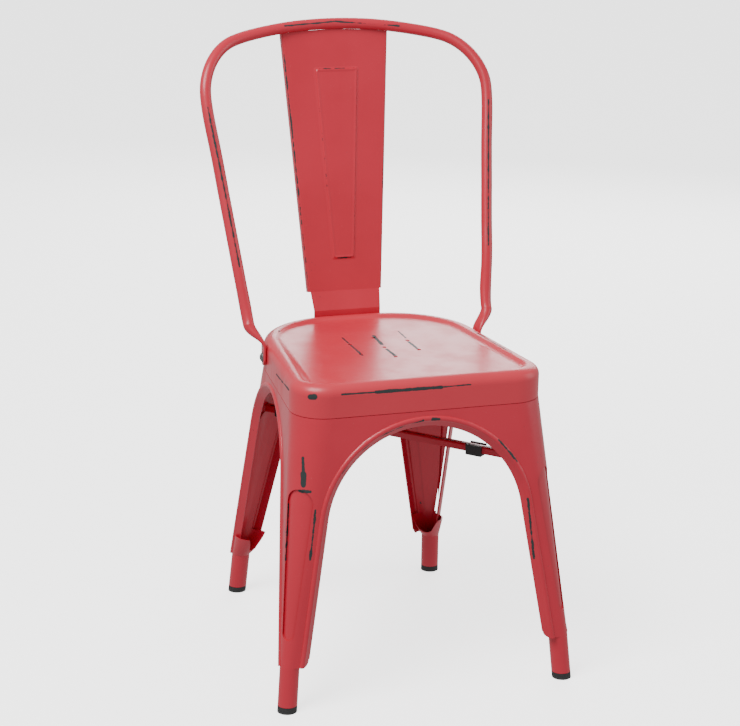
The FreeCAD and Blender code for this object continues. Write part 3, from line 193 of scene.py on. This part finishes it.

# %% [markdown]
# The seat's marks are thin scratches, the hoop's are long worn patches, and the arches are only
# touched. Each streak below has its two ends in metres, its radius and how ragged it is. Most were
# read off the photo and laid on the model. A few were placed one by one or from the sizes: the
# splat's right edge, the link on the left of the front arch, the front left flange, the marks inside
# the rear right leg and along the brace, and the spot at the seat's right corner.

# %% Where the paint is worn, and where shade is painted on the splat
HOOP_WEAR = [
    # Along the crown
    ((-0.0764, 0.2212, 0.8416), (0.0000, 0.2247, 0.8457), 0.0014, 0.35),
    ((0.0000, 0.2247, 0.8457), (0.0933, 0.2180, 0.8379), 0.0014, 0.35),
    # Down the left tube
    ((-0.2080, 0.1453, 0.7418), (-0.1933, 0.1009, 0.6216), 0.0014, 0.6),
    ((-0.1933, 0.1009, 0.6216), (-0.1837, 0.0675, 0.5336), 0.0013, 0.8),
    # Down the right tube
    ((0.2063, 0.1441, 0.7385), (0.1848, 0.0707, 0.5425), 0.0012, 0.6),
]
# The splat's streaks paint shade as well as wear: dark lines round the raised panel, and along the
# board's left edge.
SPLAT_WEAR_AND_SHADE = [
    # Left edge of the board: partly worn paint, partly painted shade of the flange folded back there
    ((-0.0777, 0.2235, 0.800), (-0.0644, 0.1866, 0.596), 0.0019, 0.4),
    ((-0.0644, 0.1866, 0.596), (-0.0565, 0.1645, 0.475), 0.0014, 0.5),
    # Right edge of the board
    ((0.0678, 0.1963, 0.650), (0.0647, 0.1870, 0.600), 0.0020, 0.6),
    # Top, left, right and lower edge of the raised panel: painted shade where its pressed step turns
    # from the light
    ((-0.0300, 0.2185, 0.7800), (0.0300, 0.2180, 0.7800), 0.0012, 0.4),
    ((-0.0312, 0.2150, 0.764), (-0.0196, 0.1805, 0.573), 0.0012, 0.5),
    ((0.0316, 0.2160, 0.769), (0.0166, 0.1712, 0.522), 0.0011, 0.5),
    ((-0.0090, 0.1700, 0.5115), (0.0100, 0.1700, 0.5115), 0.0016, 0.4),
]
LEG_WEAR = [
    # Corner of the front left leg, above its flute
    ((-0.1660, -0.1885, 0.3380), (-0.1684, -0.1962, 0.3120), 0.0026, 0.2),
    ((-0.1676, -0.1940, 0.3180), (-0.1688, -0.1975, 0.3050), 0.0046, 0.15),
    ((-0.1725, -0.1925, 0.2950), (-0.1610, -0.2035, 0.2965), 0.0024, 0.4),
    # Both sides of that flute
    ((-0.1822, -0.1773, 0.2718), (-0.1902, -0.1931, 0.2012), 0.0016, 0.6),
    ((-0.1546, -0.2083, 0.2721), (-0.1633, -0.2159, 0.2071), 0.0016, 0.6),
    # Front arch, its left half and its crown
    ((-0.0700, -0.1975, 0.3620), (-0.0056, -0.1982, 0.3785), 0.0016, 0.5),
    ((-0.0700, -0.1975, 0.3620), (-0.1180, -0.2040, 0.3180), 0.0010, 0.6),
    ((0.0082, -0.1986, 0.3795), (0.0165, -0.1987, 0.3790), 0.0026, 0.2),
    # Front arch, its right half
    ((0.1011, -0.2021, 0.3440), (0.1267, -0.2055, 0.3130), 0.0018, 0.5),
    ((0.1426, -0.2110, 0.2600), (0.1525, -0.2164, 0.1756), 0.0018, 0.6),
    # Flange of the front left leg
    ((-0.1330, -0.2090, 0.2800), (-0.1480, -0.2180, 0.1500), 0.0020, 0.7),
    # Inside the rear right leg
    ((0.118, 0.176, 0.300), (0.136, 0.195, 0.110), 0.0030, 0.9),
    ((0.070, 0.178, 0.290), (0.112, 0.200, 0.120), 0.0024, 0.9),
    # Along the two bars of the brace
    ((-0.160, -0.180, 0.3095), (0.120, 0.130, 0.3095), 0.0012, 0.8),
    ((0.160, -0.180, 0.3095), (-0.120, 0.130, 0.3095), 0.0012, 0.8),
]
SEAT_WEAR = [
    # Left side of the rim
    ((-0.1215, 0.086, 0.434), (-0.1447, -0.108, 0.432), 0.0013, 0.6),
    # Front edge
    ((-0.1164, -0.195, 0.4225), (-0.0243, -0.195, 0.4215), 0.0014, 0.25),
    ((-0.0700, -0.195, 0.4220), (0.0200, -0.195, 0.4217), 0.0026, 0.2),
    ((-0.0243, -0.195, 0.4215), (0.0610, -0.195, 0.4220), 0.0011, 0.35),
    # Front left corner and the left skirt
    ((-0.1565, -0.1855, 0.4197), (-0.1515, -0.1890, 0.4204), 0.0042, 0.12),
    ((-0.1632, -0.047, 0.411), (-0.1730, -0.144, 0.418), 0.0014, 0.7),
    # Right side of the rim and its front corner
    ((0.1425, 0.016, 0.434), (0.1539, -0.108, 0.434), 0.0007, 0.8),
    ((0.1640, -0.130, 0.425), (0.1660, -0.140, 0.423), 0.0030, 0.6),
    # Three rows of scratches in the dish, among the drain holes
    ((-0.0421, 0.041, 0.429), (-0.0422, -0.051, 0.429), 0.0014, 0.4),
    ((-0.0421, -0.020, 0.429), (-0.0422, -0.049, 0.429), 0.0022, 0.3),
    ((0.0036, 0.040, 0.429), (0.0008, -0.006, 0.429), 0.0030, 0.25),
    ((-0.0004, -0.030, 0.429), (0.0007, -0.062, 0.429), 0.0024, 0.3),
    ((0.0452, 0.054, 0.429), (0.0439, 0.017, 0.429), 0.0012, 0.4),
    ((0.0413, -0.002, 0.429), (0.0417, -0.038, 0.429), 0.0024, 0.3),
]
print("streaks", len(HOOP_WEAR) + len(SPLAT_WEAR_AND_SHADE) + len(LEG_WEAR) + len(SEAT_WEAR))

# %% [markdown]
# Between the streaks the paint has small chips, in some areas only. One mask for each kind of piece
# joins its streaks with those chips, so a finish asks for its wear by one name. The splat's mask also
# holds the painted shade round its panel and along the board's left edge. The chips come from the
# peaks of a fine noise, and a coarse noise leaves whole areas clean.

# %% One mask of wear for each kind of piece, with the splat's painted shade


def build_marking(name, streaks):
    """One mask that holds all the streaks of a kind of piece, and the small chips between them."""
    chips_given = [("Chips", "NodeSocketFloat", 1.0)]
    tree, given, result = new_group(name, chips_given, [("Mask", "NodeSocketFloat")])
    grain = noise(tree, scale=90.0, detail=4.0, roughness=0.65)
    mask = None
    for start, end, radius, ragged in streaks:
        shape = {"From": start, "To": end, "Radius": radius, "Ragged": ragged}
        streak = use(tree, line_mask, Grain=grain, **shape)["Mask"]
        mask = streak if mask is None else calc(tree, "MAXIMUM", mask, streak)
    peaks = noise(tree, scale=420.0, detail=2.0, roughness=0.4)
    chip = ramp(tree, peaks, low=0.745, high=0.755)
    areas = noise(tree, scale=14.0, detail=2.0, roughness=0.5)
    chip = calc(tree, "MULTIPLY", chip, ramp(tree, areas, low=0.58, high=0.66))
    chip = calc(tree, "MULTIPLY", chip, given.outputs["Chips"])
    tree.links.new(calc(tree, "MAXIMUM", mask, chip, clamp=True), result.inputs["Mask"])
    return tree


WEAR_AND_SHADE = {
    "hoop": build_marking("hoop_wear", HOOP_WEAR),
    # The splat's mask holds painted shade as well as wear.
    "splat": build_marking("splat_wear_and_shade", SPLAT_WEAR_AND_SHADE),
    "leg": build_marking("leg_wear", LEG_WEAR),
    "seat": build_marking("seat_wear", SEAT_WEAR),
}
print("masks", sorted(WEAR_AND_SHADE))

# %% [markdown]
# The splat's panel was pressed in with a soft round border that catches the light, wider than the
# sharp step of the CAD. The border is a low ridge along the panel's four edges, made in the bump
# with the same line group, because a ridge under a millimetre high needs no mesh of its own.

# %% Soft border of the pressed panel
PANEL_CORNERS = [
    (-0.0305, 0.2190, 0.7780),
    (0.0305, 0.2190, 0.7780),
    (0.0148, 0.1712, 0.5126),
    (-0.0148, 0.1712, 0.5126),
]
BORDER_RADIUS = 0.0042
BORDER_HEIGHT = 11.0


def build_border():
    """The group that raises a soft ridge along the panel's four edges."""
    height_given = [("Height", "NodeSocketFloat", 1.0)]
    tree, given, result = new_group("panel_border", height_given, [("Height", "NodeSocketFloat")])
    soft = {"Radius": BORDER_RADIUS, "Ragged": 0.0, "Core": 0.0}
    ridge = None
    for start, end in zip(PANEL_CORNERS, PANEL_CORNERS[1:] + PANEL_CORNERS[:1]):
        line = use(tree, line_mask, From=start, To=end, **soft)["Mask"]
        ridge = line if ridge is None else calc(tree, "MAXIMUM", ridge, line)
    height = calc(tree, "MULTIPLY", ridge, given.outputs["Height"])
    tree.links.new(height, result.inputs["Height"])
    return tree


panel_border = build_border()
print("group", panel_border.name)

# %% [markdown]
# The paint is a sprayed satin red. Real spray paint is never one flat colour: it clouds a little,
# its surface has a fine orange peel, and dust and hands leave it duller in places. Each of these
# comes from a noise of its own size, and so do the rust and the pits where the paint is gone. A
# single glossy colour would look like moulded plastic.

# %% The sprayed paint
CLOUD_SHARE = 0.45
DUST = (0.7, 0.25, 0.24, 1)
DUST_SHARE = 0.12
RUST = (0.075, 0.05, 0.04, 1)
RUST_SHARE = 0.5
ROUGHER_WHERE_BARE = 0.22
METAL_WHERE_BARE = 0.45
COAT = 0.12
PEEL_HEIGHT = 0.12
PIT_HEIGHT = 0.5


def build_paint():
    """The group that turns two reds, a gloss and a mask of wear into a painted surface."""
    tree, given, result = new_group("sprayed_paint", [
        ("Colour", "NodeSocketColor", (0.5, 0.03, 0.04, 1)),
        ("Deep colour", "NodeSocketColor", (0.4, 0.02, 0.03, 1)),
        ("Bare colour", "NodeSocketColor", (0.03, 0.045, 0.045, 1)),
        ("Wear", "NodeSocketFloat", 0.0),
        ("Gloss", "NodeSocketFloat", 0.3),
    ], [
        ("Colour", "NodeSocketColor"),
        ("Roughness", "NodeSocketFloat"),
        ("Metallic", "NodeSocketFloat"),
        ("Coat", "NodeSocketFloat"),
        ("Height", "NodeSocketFloat"),
    ])
    # The Wear mask is worn paint, and on the splat also painted shade; both turn the red to the dark
    # bare colour.
    marking = given.outputs["Wear"]

    cloud = ramp(tree, noise(tree, scale=9.0, detail=3.0, roughness=0.55), low=0.35, high=0.7)
    cloud = calc(tree, "MULTIPLY", cloud, CLOUD_SHARE)
    coloured = mixed(tree, cloud, given.outputs["Colour"], given.outputs["Deep colour"])
    dust = ramp(tree, noise(tree, scale=420.0, detail=2.0, roughness=0.6), low=0.66, high=0.8)
    coloured = mixed(tree, calc(tree, "MULTIPLY", dust, DUST_SHARE), coloured, DUST)
    rust = ramp(tree, noise(tree, scale=260.0, detail=3.0, roughness=0.6), low=0.5, high=0.75)
    rust = calc(tree, "MULTIPLY", rust, RUST_SHARE)
    bare = mixed(tree, rust, given.outputs["Bare colour"], RUST)
    tree.links.new(mixed(tree, marking, coloured, bare), result.inputs["Colour"])

    hands = noise(tree, scale=30.0, detail=4.0, roughness=0.6, stretch=(1.0, 1.0, 0.35))
    smear = ramp(tree, hands, low=0.3, high=0.75, to_low=-0.04, to_high=0.08)
    satin = calc(tree, "ADD", given.outputs["Gloss"], smear)
    rough = calc(tree, "ADD", satin, calc(tree, "MULTIPLY", marking, ROUGHER_WHERE_BARE), clamp=True)
    tree.links.new(rough, result.inputs["Roughness"])
    tree.links.new(calc(tree, "MULTIPLY", marking, METAL_WHERE_BARE), result.inputs["Metallic"])
    coat = calc(tree, "SUBTRACT", COAT, calc(tree, "MULTIPLY", marking, COAT))
    tree.links.new(coat, result.inputs["Coat"])

    peel = noise(tree, scale=700.0, detail=2.0, roughness=0.5)
    peel = calc(tree, "MULTIPLY", peel, PEEL_HEIGHT)
    pits = noise(tree, scale=1500.0, detail=3.0, roughness=0.6)
    pits = calc(tree, "MULTIPLY", pits, calc(tree, "MULTIPLY", marking, PIT_HEIGHT))
    height = calc(tree, "SUBTRACT", calc(tree, "ADD", peel, pits), marking)
    tree.links.new(height, result.inputs["Height"])
    return tree


sprayed_paint = build_paint()
print("group", sprayed_paint.name)

# %% [markdown]
# Hoop, splat, legs and seat have the same paint, each with its own wear, and the splat's mask also
# holds painted shade. The seat's red is painted a little lighter, as painted light on its upward
# face. The shader stays in the material, so that each one can be changed on its own. Only the
# splat also takes the soft border, and the seat has no chips, because there they look like dents.

# %% The four painted finishes
RED = (0.540, 0.016, 0.038, 1)
DEEP_RED = (0.450, 0.010, 0.026, 1)
# The seat's red is painted lighter than the frame's, as painted light on its upward face; its deeper
# red is the frame's own red.
SEAT_RED_PAINTED_LIGHTER = (0.600, 0.028, 0.048, 1)
COAT_ROUGHNESS = 0.22
PAINT_BUMP = 0.35
PAINT_DEPTH = 0.00025


def painted(name, marking, colour, deep, gloss, chips=1.0):
    """A material of sprayed paint over dark steel, worn where its mask says; the splat's mask also
    holds painted shade.
    """
    material, tree, shader = new_material(name)
    # On the splat this mask also paints shade round the panel and along the board's left edge.
    mask = use(tree, WEAR_AND_SHADE[marking], Chips=chips)["Mask"]
    look = use(tree, sprayed_paint, Colour=colour, Deep_colour=deep, Wear=mask, Gloss=gloss)
    tree.links.new(look["Colour"], shader.inputs["Base Color"])
    tree.links.new(look["Roughness"], shader.inputs["Roughness"])
    tree.links.new(look["Metallic"], shader.inputs["Metallic"])
    tree.links.new(look["Coat"], shader.inputs["Coat Weight"])
    shader.inputs["Coat Roughness"].default_value = COAT_ROUGHNESS
    height = look["Height"]
    if marking == "splat":
        border = use(tree, panel_border, Height=BORDER_HEIGHT)["Height"]
        height = calc(tree, "ADD", height, border)
    emboss(tree, shader, height, PAINT_BUMP, PAINT_DEPTH)
    return material


FINISH = {
    "hoop": painted("red_paint_hoop", "hoop", RED, DEEP_RED, gloss=0.34),
    "splat": painted("red_paint_splat", "splat", RED, DEEP_RED, gloss=0.34),
    "leg": painted("red_paint_legs", "leg", RED, DEEP_RED, gloss=0.33),
    # The seat takes the lighter red, painted light for its upward face.
    "seat": painted("seat_paint_worn_painted_lighter", "seat", SEAT_RED_PAINTED_LIGHTER, RED, gloss=0.36, chips=0.0),
}
print("painted finishes", sorted(FINISH))

# %% [markdown]
# The feet and the stacking bumpers are black rubber and plastic, matt with a faint grain, and a foot
# is greyer at the floor, where it scuffs. The bolts, nuts and rivets are steel that was blackened
# and has worn to a dull grey in patches. One function makes all three, because they differ only in
# their numbers.

# %% Rubber, plastic and steel
SCUFF_HEIGHT = 0.004
ROUGHER_IN_PATCHES = 0.12
GRAIN_BUMP = 0.4
GRAIN_DEPTH = 0.0002


def plain_finish(name, colour, second, rough, scale, metallic=0.0, scuff=0.0):
    """A finish of two close colours, with grain, for the small dark pieces."""
    material, tree, shader = new_material(name)
    fine = noise(tree, scale, detail=4.0, roughness=0.6)
    share = ramp(tree, fine, low=0.35, high=0.7)
    if scuff:
        spot = tree.nodes.new("ShaderNodeTexCoord").outputs["Object"]
        split = tree.nodes.new("ShaderNodeSeparateXYZ")
        tree.links.new(spot, split.inputs[0])
        low = ramp(tree, split.outputs["Z"], 0.0, SCUFF_HEIGHT, to_low=scuff, to_high=0.0)
        share = calc(tree, "ADD", share, low, clamp=True)
    tree.links.new(mixed(tree, share, colour, second), shader.inputs["Base Color"])
    patches = calc(tree, "MULTIPLY", share, ROUGHER_IN_PATCHES)
    tree.links.new(calc(tree, "ADD", patches, rough), shader.inputs["Roughness"])
    shader.inputs["Metallic"].default_value = metallic
    emboss(tree, shader, fine, GRAIN_BUMP, GRAIN_DEPTH)
    return material


rubber = plain_finish(
    "black_rubber_worn",
    colour=(0.012, 0.012, 0.013, 1),
    second=(0.035, 0.034, 0.034, 1),
    rough=0.62,
    scale=900.0,
    scuff=0.8,
)
plastic = plain_finish(
    "black_plastic_moulded",
    colour=(0.014, 0.014, 0.015, 1),
    second=(0.024, 0.024, 0.025, 1),
    rough=0.45,
    scale=1200.0,
)
steel = plain_finish(
    "bolt_steel_dark",
    colour=(0.10, 0.10, 0.105, 1),
    second=(0.28, 0.27, 0.26, 1),
    rough=0.34,
    scale=500.0,
    metallic=0.9,
)
print("plain finishes", rubber.name, plastic.name, steel.name)

# %% [markdown]
# Each piece gets its finish by its name, because the names say what a piece is. Choosing them one by
# one would take longer and could miss one of the four legs. A name that matches no start is a bolt,
# a nut or the rivets.

# %% Every piece gets its finish
FINISH_BY_START = {
    "leg_": FINISH["leg"],
    "cross_brace": FINISH["leg"],
    "back_hoop": FINISH["hoop"],
    "back_splat": FINISH["splat"],
    "seat_pan": FINISH["seat"],
    "foot_": rubber,
    "bumper_": plastic,
}
for name, node in nodes.items():
    matches = [finish for start, finish in FINISH_BY_START.items() if name.startswith(start)]
    node.data.materials[0] = matches[0] if matches else steel
print("finishes set on", len(nodes))

# %% [markdown]
# On such chairs short weld runs on the back hold the splat to the hoop, where the board ends under
# the top rail, and the cross brace is tacked to the inner corners of the legs. A weld run is a row of
# small overlapping blobs, so Geometry Nodes lay a small ball at each step of the path and vary its
# size a little with a fixed seed. Modelling each ripple by hand would only hide the pattern.

# %% Nodes that lay a weld run
BALL_SEGMENTS = 14
BALL_RINGS = 8
SMALLEST_BALL = 0.86
LARGEST_BALL = 1.1


def build_weld_tree():
    """The tree that turns a path of points into a row of beads."""
    tree = bpy.data.node_groups.new("weld_run", "GeometryNodeTree")
    sides = tree.interface
    sides.new_socket("Geometry", in_out="INPUT", socket_type="NodeSocketGeometry")
    for title, kind, default in (
        ("Step", "NodeSocketFloat", 0.0012),
        ("Bead radius", "NodeSocketFloat", 0.0016),
        ("Seed", "NodeSocketInt", 3),
    ):
        sides.new_socket(title, in_out="INPUT", socket_type=kind).default_value = default
    sides.new_socket("Material", in_out="INPUT", socket_type="NodeSocketMaterial")
    sides.new_socket("Geometry", in_out="OUTPUT", socket_type="NodeSocketGeometry")
    given = tree.nodes.new("NodeGroupInput")
    result = tree.nodes.new("NodeGroupOutput")
    link = tree.links.new

    curve = tree.nodes.new("GeometryNodeMeshToCurve")
    link(given.outputs["Geometry"], curve.inputs["Mesh"])
    points = tree.nodes.new("GeometryNodeCurveToPoints")
    points.mode = "LENGTH"
    link(curve.outputs["Curve"], points.inputs["Curve"])
    link(given.outputs["Step"], points.inputs["Length"])

    ball = tree.nodes.new("GeometryNodeMeshUVSphere")
    ball.inputs["Segments"].default_value = BALL_SEGMENTS
    ball.inputs["Rings"].default_value = BALL_RINGS
    link(given.outputs["Bead radius"], ball.inputs["Radius"])
    smooth = tree.nodes.new("GeometryNodeSetShadeSmooth")
    link(ball.outputs["Mesh"], smooth.inputs["Geometry"])

    swell = tree.nodes.new("FunctionNodeRandomValue")
    swell.data_type = "FLOAT"
    limits = [socket for socket in swell.inputs if socket.name in ("Min", "Max")]
    smallest, largest = [socket for socket in limits if socket.type == "VALUE"][:2]
    smallest.default_value = SMALLEST_BALL
    largest.default_value = LARGEST_BALL
    link(given.outputs["Seed"], swell.inputs["Seed"])
    drawn = [socket for socket in swell.outputs if socket.type == "VALUE" and socket.enabled]

    place = tree.nodes.new("GeometryNodeInstanceOnPoints")
    link(points.outputs["Points"], place.inputs["Points"])
    link(smooth.outputs["Geometry"], place.inputs["Instance"])
    link(drawn[0], place.inputs["Scale"])
    real = tree.nodes.new("GeometryNodeRealizeInstances")
    link(place.outputs["Instances"], real.inputs["Geometry"])
    paint = tree.nodes.new("GeometryNodeSetMaterial")
    link(real.outputs["Geometry"], paint.inputs["Geometry"])
    link(given.outputs["Material"], paint.inputs["Material"])
    link(paint.outputs["Geometry"], result.inputs["Geometry"])
    return tree


weld_tree = build_weld_tree()
print("tree", weld_tree.name)

# %% [markdown]
# A weld run starts as a bare path of points. The nodes turn it into beads, and the result is kept as
# a plain mesh that rides on the chair's one body. A step is shorter than a bead is wide, so that
# neighbouring beads melt together as they do in a real weld.

# %% One weld run along a path
STEP_SHARE = 0.75


def weld(name, path, material, radius):
    """A weld run along a path of points, as a plain mesh that rides on the chair."""
    guide = bpy.data.meshes.new(f"{name}_path")
    edges = [(number, number + 1) for number in range(len(path) - 1)]
    guide.from_pydata([Vector(point) for point in path], edges, [])
    carrier = bpy.data.objects.new(f"{name}_guide", guide)
    bpy.context.scene.collection.objects.link(carrier)
    modifier = carrier.modifiers.new("weld", "NODES")
    modifier.node_group = weld_tree
    wanted = {
        "Step": radius * STEP_SHARE,
        "Bead radius": radius,
        "Seed": len(name),
        "Material": material,
    }
    for item in weld_tree.interface.items_tree:
        if item.in_out == "INPUT" and item.name in wanted:
            modifier[item.identifier] = wanted[item.name]
    graph = bpy.context.evaluated_depsgraph_get()
    made = bpy.data.meshes.new_from_object(carrier.evaluated_get(graph))
    made.name = name
    bpy.data.objects.remove(carrier)
    piece = bpy.data.objects.new(name, made)
    bpy.context.scene.collection.objects.link(piece)
    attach(piece, "root")
    print(name, len(made.polygons), "faces")


# %% [markdown]
# Three short runs lie in the corner between the back of the board and the underside of the top rail.
# Their paths follow the rail's own curve, which is an arc seen from the front and leans and bows
# back, so that the beads touch both pieces. A straight path would leave the rail at its ends.

# %% Welds between splat and hoop
TUBE_RADIUS = 0.008
CROWN_RADIUS = 0.700
CROWN_TOP = 0.842
HOOP_HALF_WIDTH = 0.208
HOOP_FOOT_BACK = 0.048
HOOP_FOOT_HEIGHT = 0.456
HOOP_RAKE = math.tan(math.radians(20.3))
HOOP_BOW = 0.041
BOARD_FOOT_BACK = 0.1641
BOARD_FOOT_HEIGHT = 0.465
BOARD_LEAN = math.tan(math.radians(10.24))
BEAD_OFF_BOARD = 0.0009
BEAD_BELOW_TUBE = 0.0004
SPLAT_BEAD_RADIUS = 0.0016
SPLAT_WELD_MIDDLES = (-0.052, 0.0, 0.052)
SPLAT_WELD_HALF = 0.012
WELD_STEPS = 8


def rail_centre(across):
    """Centre-line of the top rail at a distance from the middle, as the CAD bends it."""
    height = CROWN_TOP - CROWN_RADIUS + math.sqrt(CROWN_RADIUS ** 2 - across ** 2)
    rake = HOOP_FOOT_BACK + HOOP_RAKE * (height - HOOP_FOOT_HEIGHT)
    return rake + HOOP_BOW * (1 - (abs(across) / HOOP_HALF_WIDTH) ** 3), height


def under_rail(across):
    """A point in the corner between the board's back and the underside of the rail."""
    centre_y, centre_z = rail_centre(across)
    rise = centre_z - TUBE_RADIUS - BOARD_FOOT_HEIGHT
    back = BOARD_FOOT_BACK + BOARD_LEAN * rise + BEAD_OFF_BOARD
    drop = math.sqrt(TUBE_RADIUS ** 2 - (back - centre_y) ** 2)
    return (across, back, centre_z - drop - BEAD_BELOW_TUBE)


shares = [2 * step / WELD_STEPS - 1 for step in range(WELD_STEPS + 1)]
for number, middle in enumerate(SPLAT_WELD_MIDDLES, 1):
    spots = [under_rail(middle + SPLAT_WELD_HALF * share) for share in shares]
    weld(f"splat_weld_{number}", spots, FINISH["splat"], SPLAT_BEAD_RADIUS)

# %% [markdown]
# Both bars of the brace end at the inside of a leg, and each end has a small tack on either side.
# The tacks are laid on the bar's own corners, read from its mesh, so they stay on the edge where
# the bar meets the leg. Typed places would have to be worked out again for every leg.

# %% Tacks at the ends of the brace
BRACE_ANGLE = math.radians(41.8)
TACK_RADIUS = 0.0013
SIDE_DEPTH = 0.0004
CORNER_REACH = 0.0006


def bar_end(node, ahead, beside):
    """The two ends of the edge where one side of a bar meets a leg, from the bar's own corners."""
    axis = Vector((ahead[0], ahead[1], 0.0)).normalized()
    across = Vector((-axis.y, axis.x, 0.0)) * beside
    corners = [vertex.co for vertex in node.data.vertices]
    widest = max(corner.dot(across) for corner in corners)
    side = [corner for corner in corners if corner.dot(across) > widest - SIDE_DEPTH]
    low = min(corner.z for corner in side)
    high = max(corner.z for corner in side)
    ends = []
    for level in (low, high):
        rim = [corner for corner in side if abs(corner.z - level) < CORNER_REACH]
        ends.append(max(rim, key=lambda corner: corner.dot(axis)))
    return ends


for bar, slope in (("cross_brace_upper", 1), ("cross_brace_lower", -1)):
    for end, end_name in ((1, "front"), (-1, "rear")):
        for beside, side_name in ((1, "a"), (-1, "b")):
            ahead = (slope * end * math.sin(BRACE_ANGLE), -end * math.cos(BRACE_ANGLE))
            spots = bar_end(nodes[bar], ahead, beside)
            weld(f"{bar}_tack_{end_name}_{side_name}", spots, FINISH["leg"], TACK_RADIUS)
print("welds laid")

# %% [markdown]
# The photo was taken with a long lens from the chair's front left, about 1.2 m above the floor. The
# camera was fitted to 28 points of the real object: nine mirrored pairs, the seven drain holes and
# three points on the skirt's lower front edge. The pose below is in full figures, and the shift is
# how far the fit puts the lens's axis from the middle of the picture.

# %% Camera
CAMERA_PLACE = Vector((-0.9129, -2.6997, 1.2391))
CAMERA_YAW = math.radians(18.474)
CAMERA_PITCH = math.radians(16.772)
CAMERA_ROLL = math.radians(1.027)
LENS = 103.69
SENSOR_WIDTH = 36.0
LENS_SHIFT = (-0.0027, 0.0188)


def look_from(place, yaw, pitch, roll):
    """World matrix of a camera turned right by yaw, tipped down by pitch and rolled."""
    flat = math.cos(pitch)
    forward = Vector((math.sin(yaw) * flat, math.cos(yaw) * flat, -math.sin(pitch)))
    level = Vector((math.cos(yaw), -math.sin(yaw), 0.0))
    upright = level.cross(forward)
    right = level * math.cos(roll) + upright * math.sin(roll)
    above = upright * math.cos(roll) - level * math.sin(roll)
    turn = Matrix((right, above, -forward)).transposed()
    return Matrix.Translation(place) @ turn.to_4x4()


camera_data = bpy.data.cameras.new("camera")
camera_data.lens = LENS
camera_data.sensor_width = SENSOR_WIDTH
camera_data.shift_x, camera_data.shift_y = LENS_SHIFT
camera = bpy.data.objects.new("camera", camera_data)
camera.matrix_world = look_from(CAMERA_PLACE, CAMERA_YAW, CAMERA_PITCH, CAMERA_ROLL)
bpy.context.scene.collection.objects.link(camera)
bpy.context.scene.camera = camera
print("camera at", tuple(round(value, 3) for value in camera.location))

# %% [markdown]
# The chair stands on a white floor that runs 30 m out on every side. The floor glows, so that it
# stays near white, and diffuse and glossy rays don't see it, because its glow would bleach the red
# from below. A bent paper sweep would look the same from here and take more modelling.

# %% Floor
FLOOR_HALF = 30.0
FLOOR_CORNERS = [
    (-FLOOR_HALF, -FLOOR_HALF, 0.0),
    (FLOOR_HALF, -FLOOR_HALF, 0.0),
    (FLOOR_HALF, FLOOR_HALF, 0.0),
    (-FLOOR_HALF, FLOOR_HALF, 0.0),
]
FLOOR_GREY = (0.88, 0.88, 0.88, 1)
FLOOR_ROUGHNESS = 0.9
FLOOR_SPECULAR = 0.1
FLOOR_GLOW = 2.2
WHITE = (1.0, 1.0, 1.0, 1)

floor_mesh = bpy.data.meshes.new("floor")
floor_mesh.from_pydata(FLOOR_CORNERS, [], [(0, 1, 2, 3)])
floor = bpy.data.objects.new("floor", floor_mesh)
bpy.context.scene.collection.objects.link(floor)
floor_paint, _, floor_shader = new_material("studio_floor")
floor_shader.inputs["Base Color"].default_value = FLOOR_GREY
floor_shader.inputs["Roughness"].default_value = FLOOR_ROUGHNESS
floor_shader.inputs["Specular IOR Level"].default_value = FLOOR_SPECULAR
floor_shader.inputs["Emission Color"].default_value = WHITE
floor_shader.inputs["Emission Strength"].default_value = FLOOR_GLOW
floor_mesh.materials.append(floor_paint)
floor.visible_diffuse = False
floor.visible_glossy = False
print("floor", 2 * FLOOR_HALF, "m wide")

# %% [markdown]
# A product photo on white needs broad, soft light: a large panel above and to the left, a second one
# behind the chair on the right, which gives the seat its pale sheen, a weak third one from the
# right, and a white room for the rest. Hard lamps would put small highlights on the paint that the
# photo doesn't have.

# %% Light
ROOM_STRENGTH = 0.62


def panel(name, place, target, width, height, power):
    """A soft rectangular light that faces a target."""
    data = bpy.data.lights.new(name, "AREA")
    data.shape = "RECTANGLE"
    data.size = width
    data.size_y = height
    data.energy = power
    lamp = bpy.data.objects.new(name, data)
    lamp.location = place
    facing = (Vector(target) - Vector(place)).to_track_quat("-Z", "Y")
    lamp.rotation_euler = facing.to_euler()
    bpy.context.scene.collection.objects.link(lamp)
    print(name, power, "W")


panel("key_panel", (-1.5, -0.9, 2.9), (0.0, 0.0, 0.5), width=1.6, height=1.6, power=105.0)
panel("back_panel", (1.5, 2.6, 1.6), (0.0, 0.0, 0.45), width=2.4, height=1.6, power=60.0)
panel("right_panel", (2.6, -0.8, 1.2), (0.0, 0.0, 0.4), width=1.4, height=1.8, power=14.0)
room = bpy.data.worlds.new("studio")
room.use_nodes = True
room.node_tree.nodes["Background"].inputs["Color"].default_value = WHITE
room.node_tree.nodes["Background"].inputs["Strength"].default_value = ROOM_STRENGTH
bpy.context.scene.world = room
print("room", ROOM_STRENGTH)
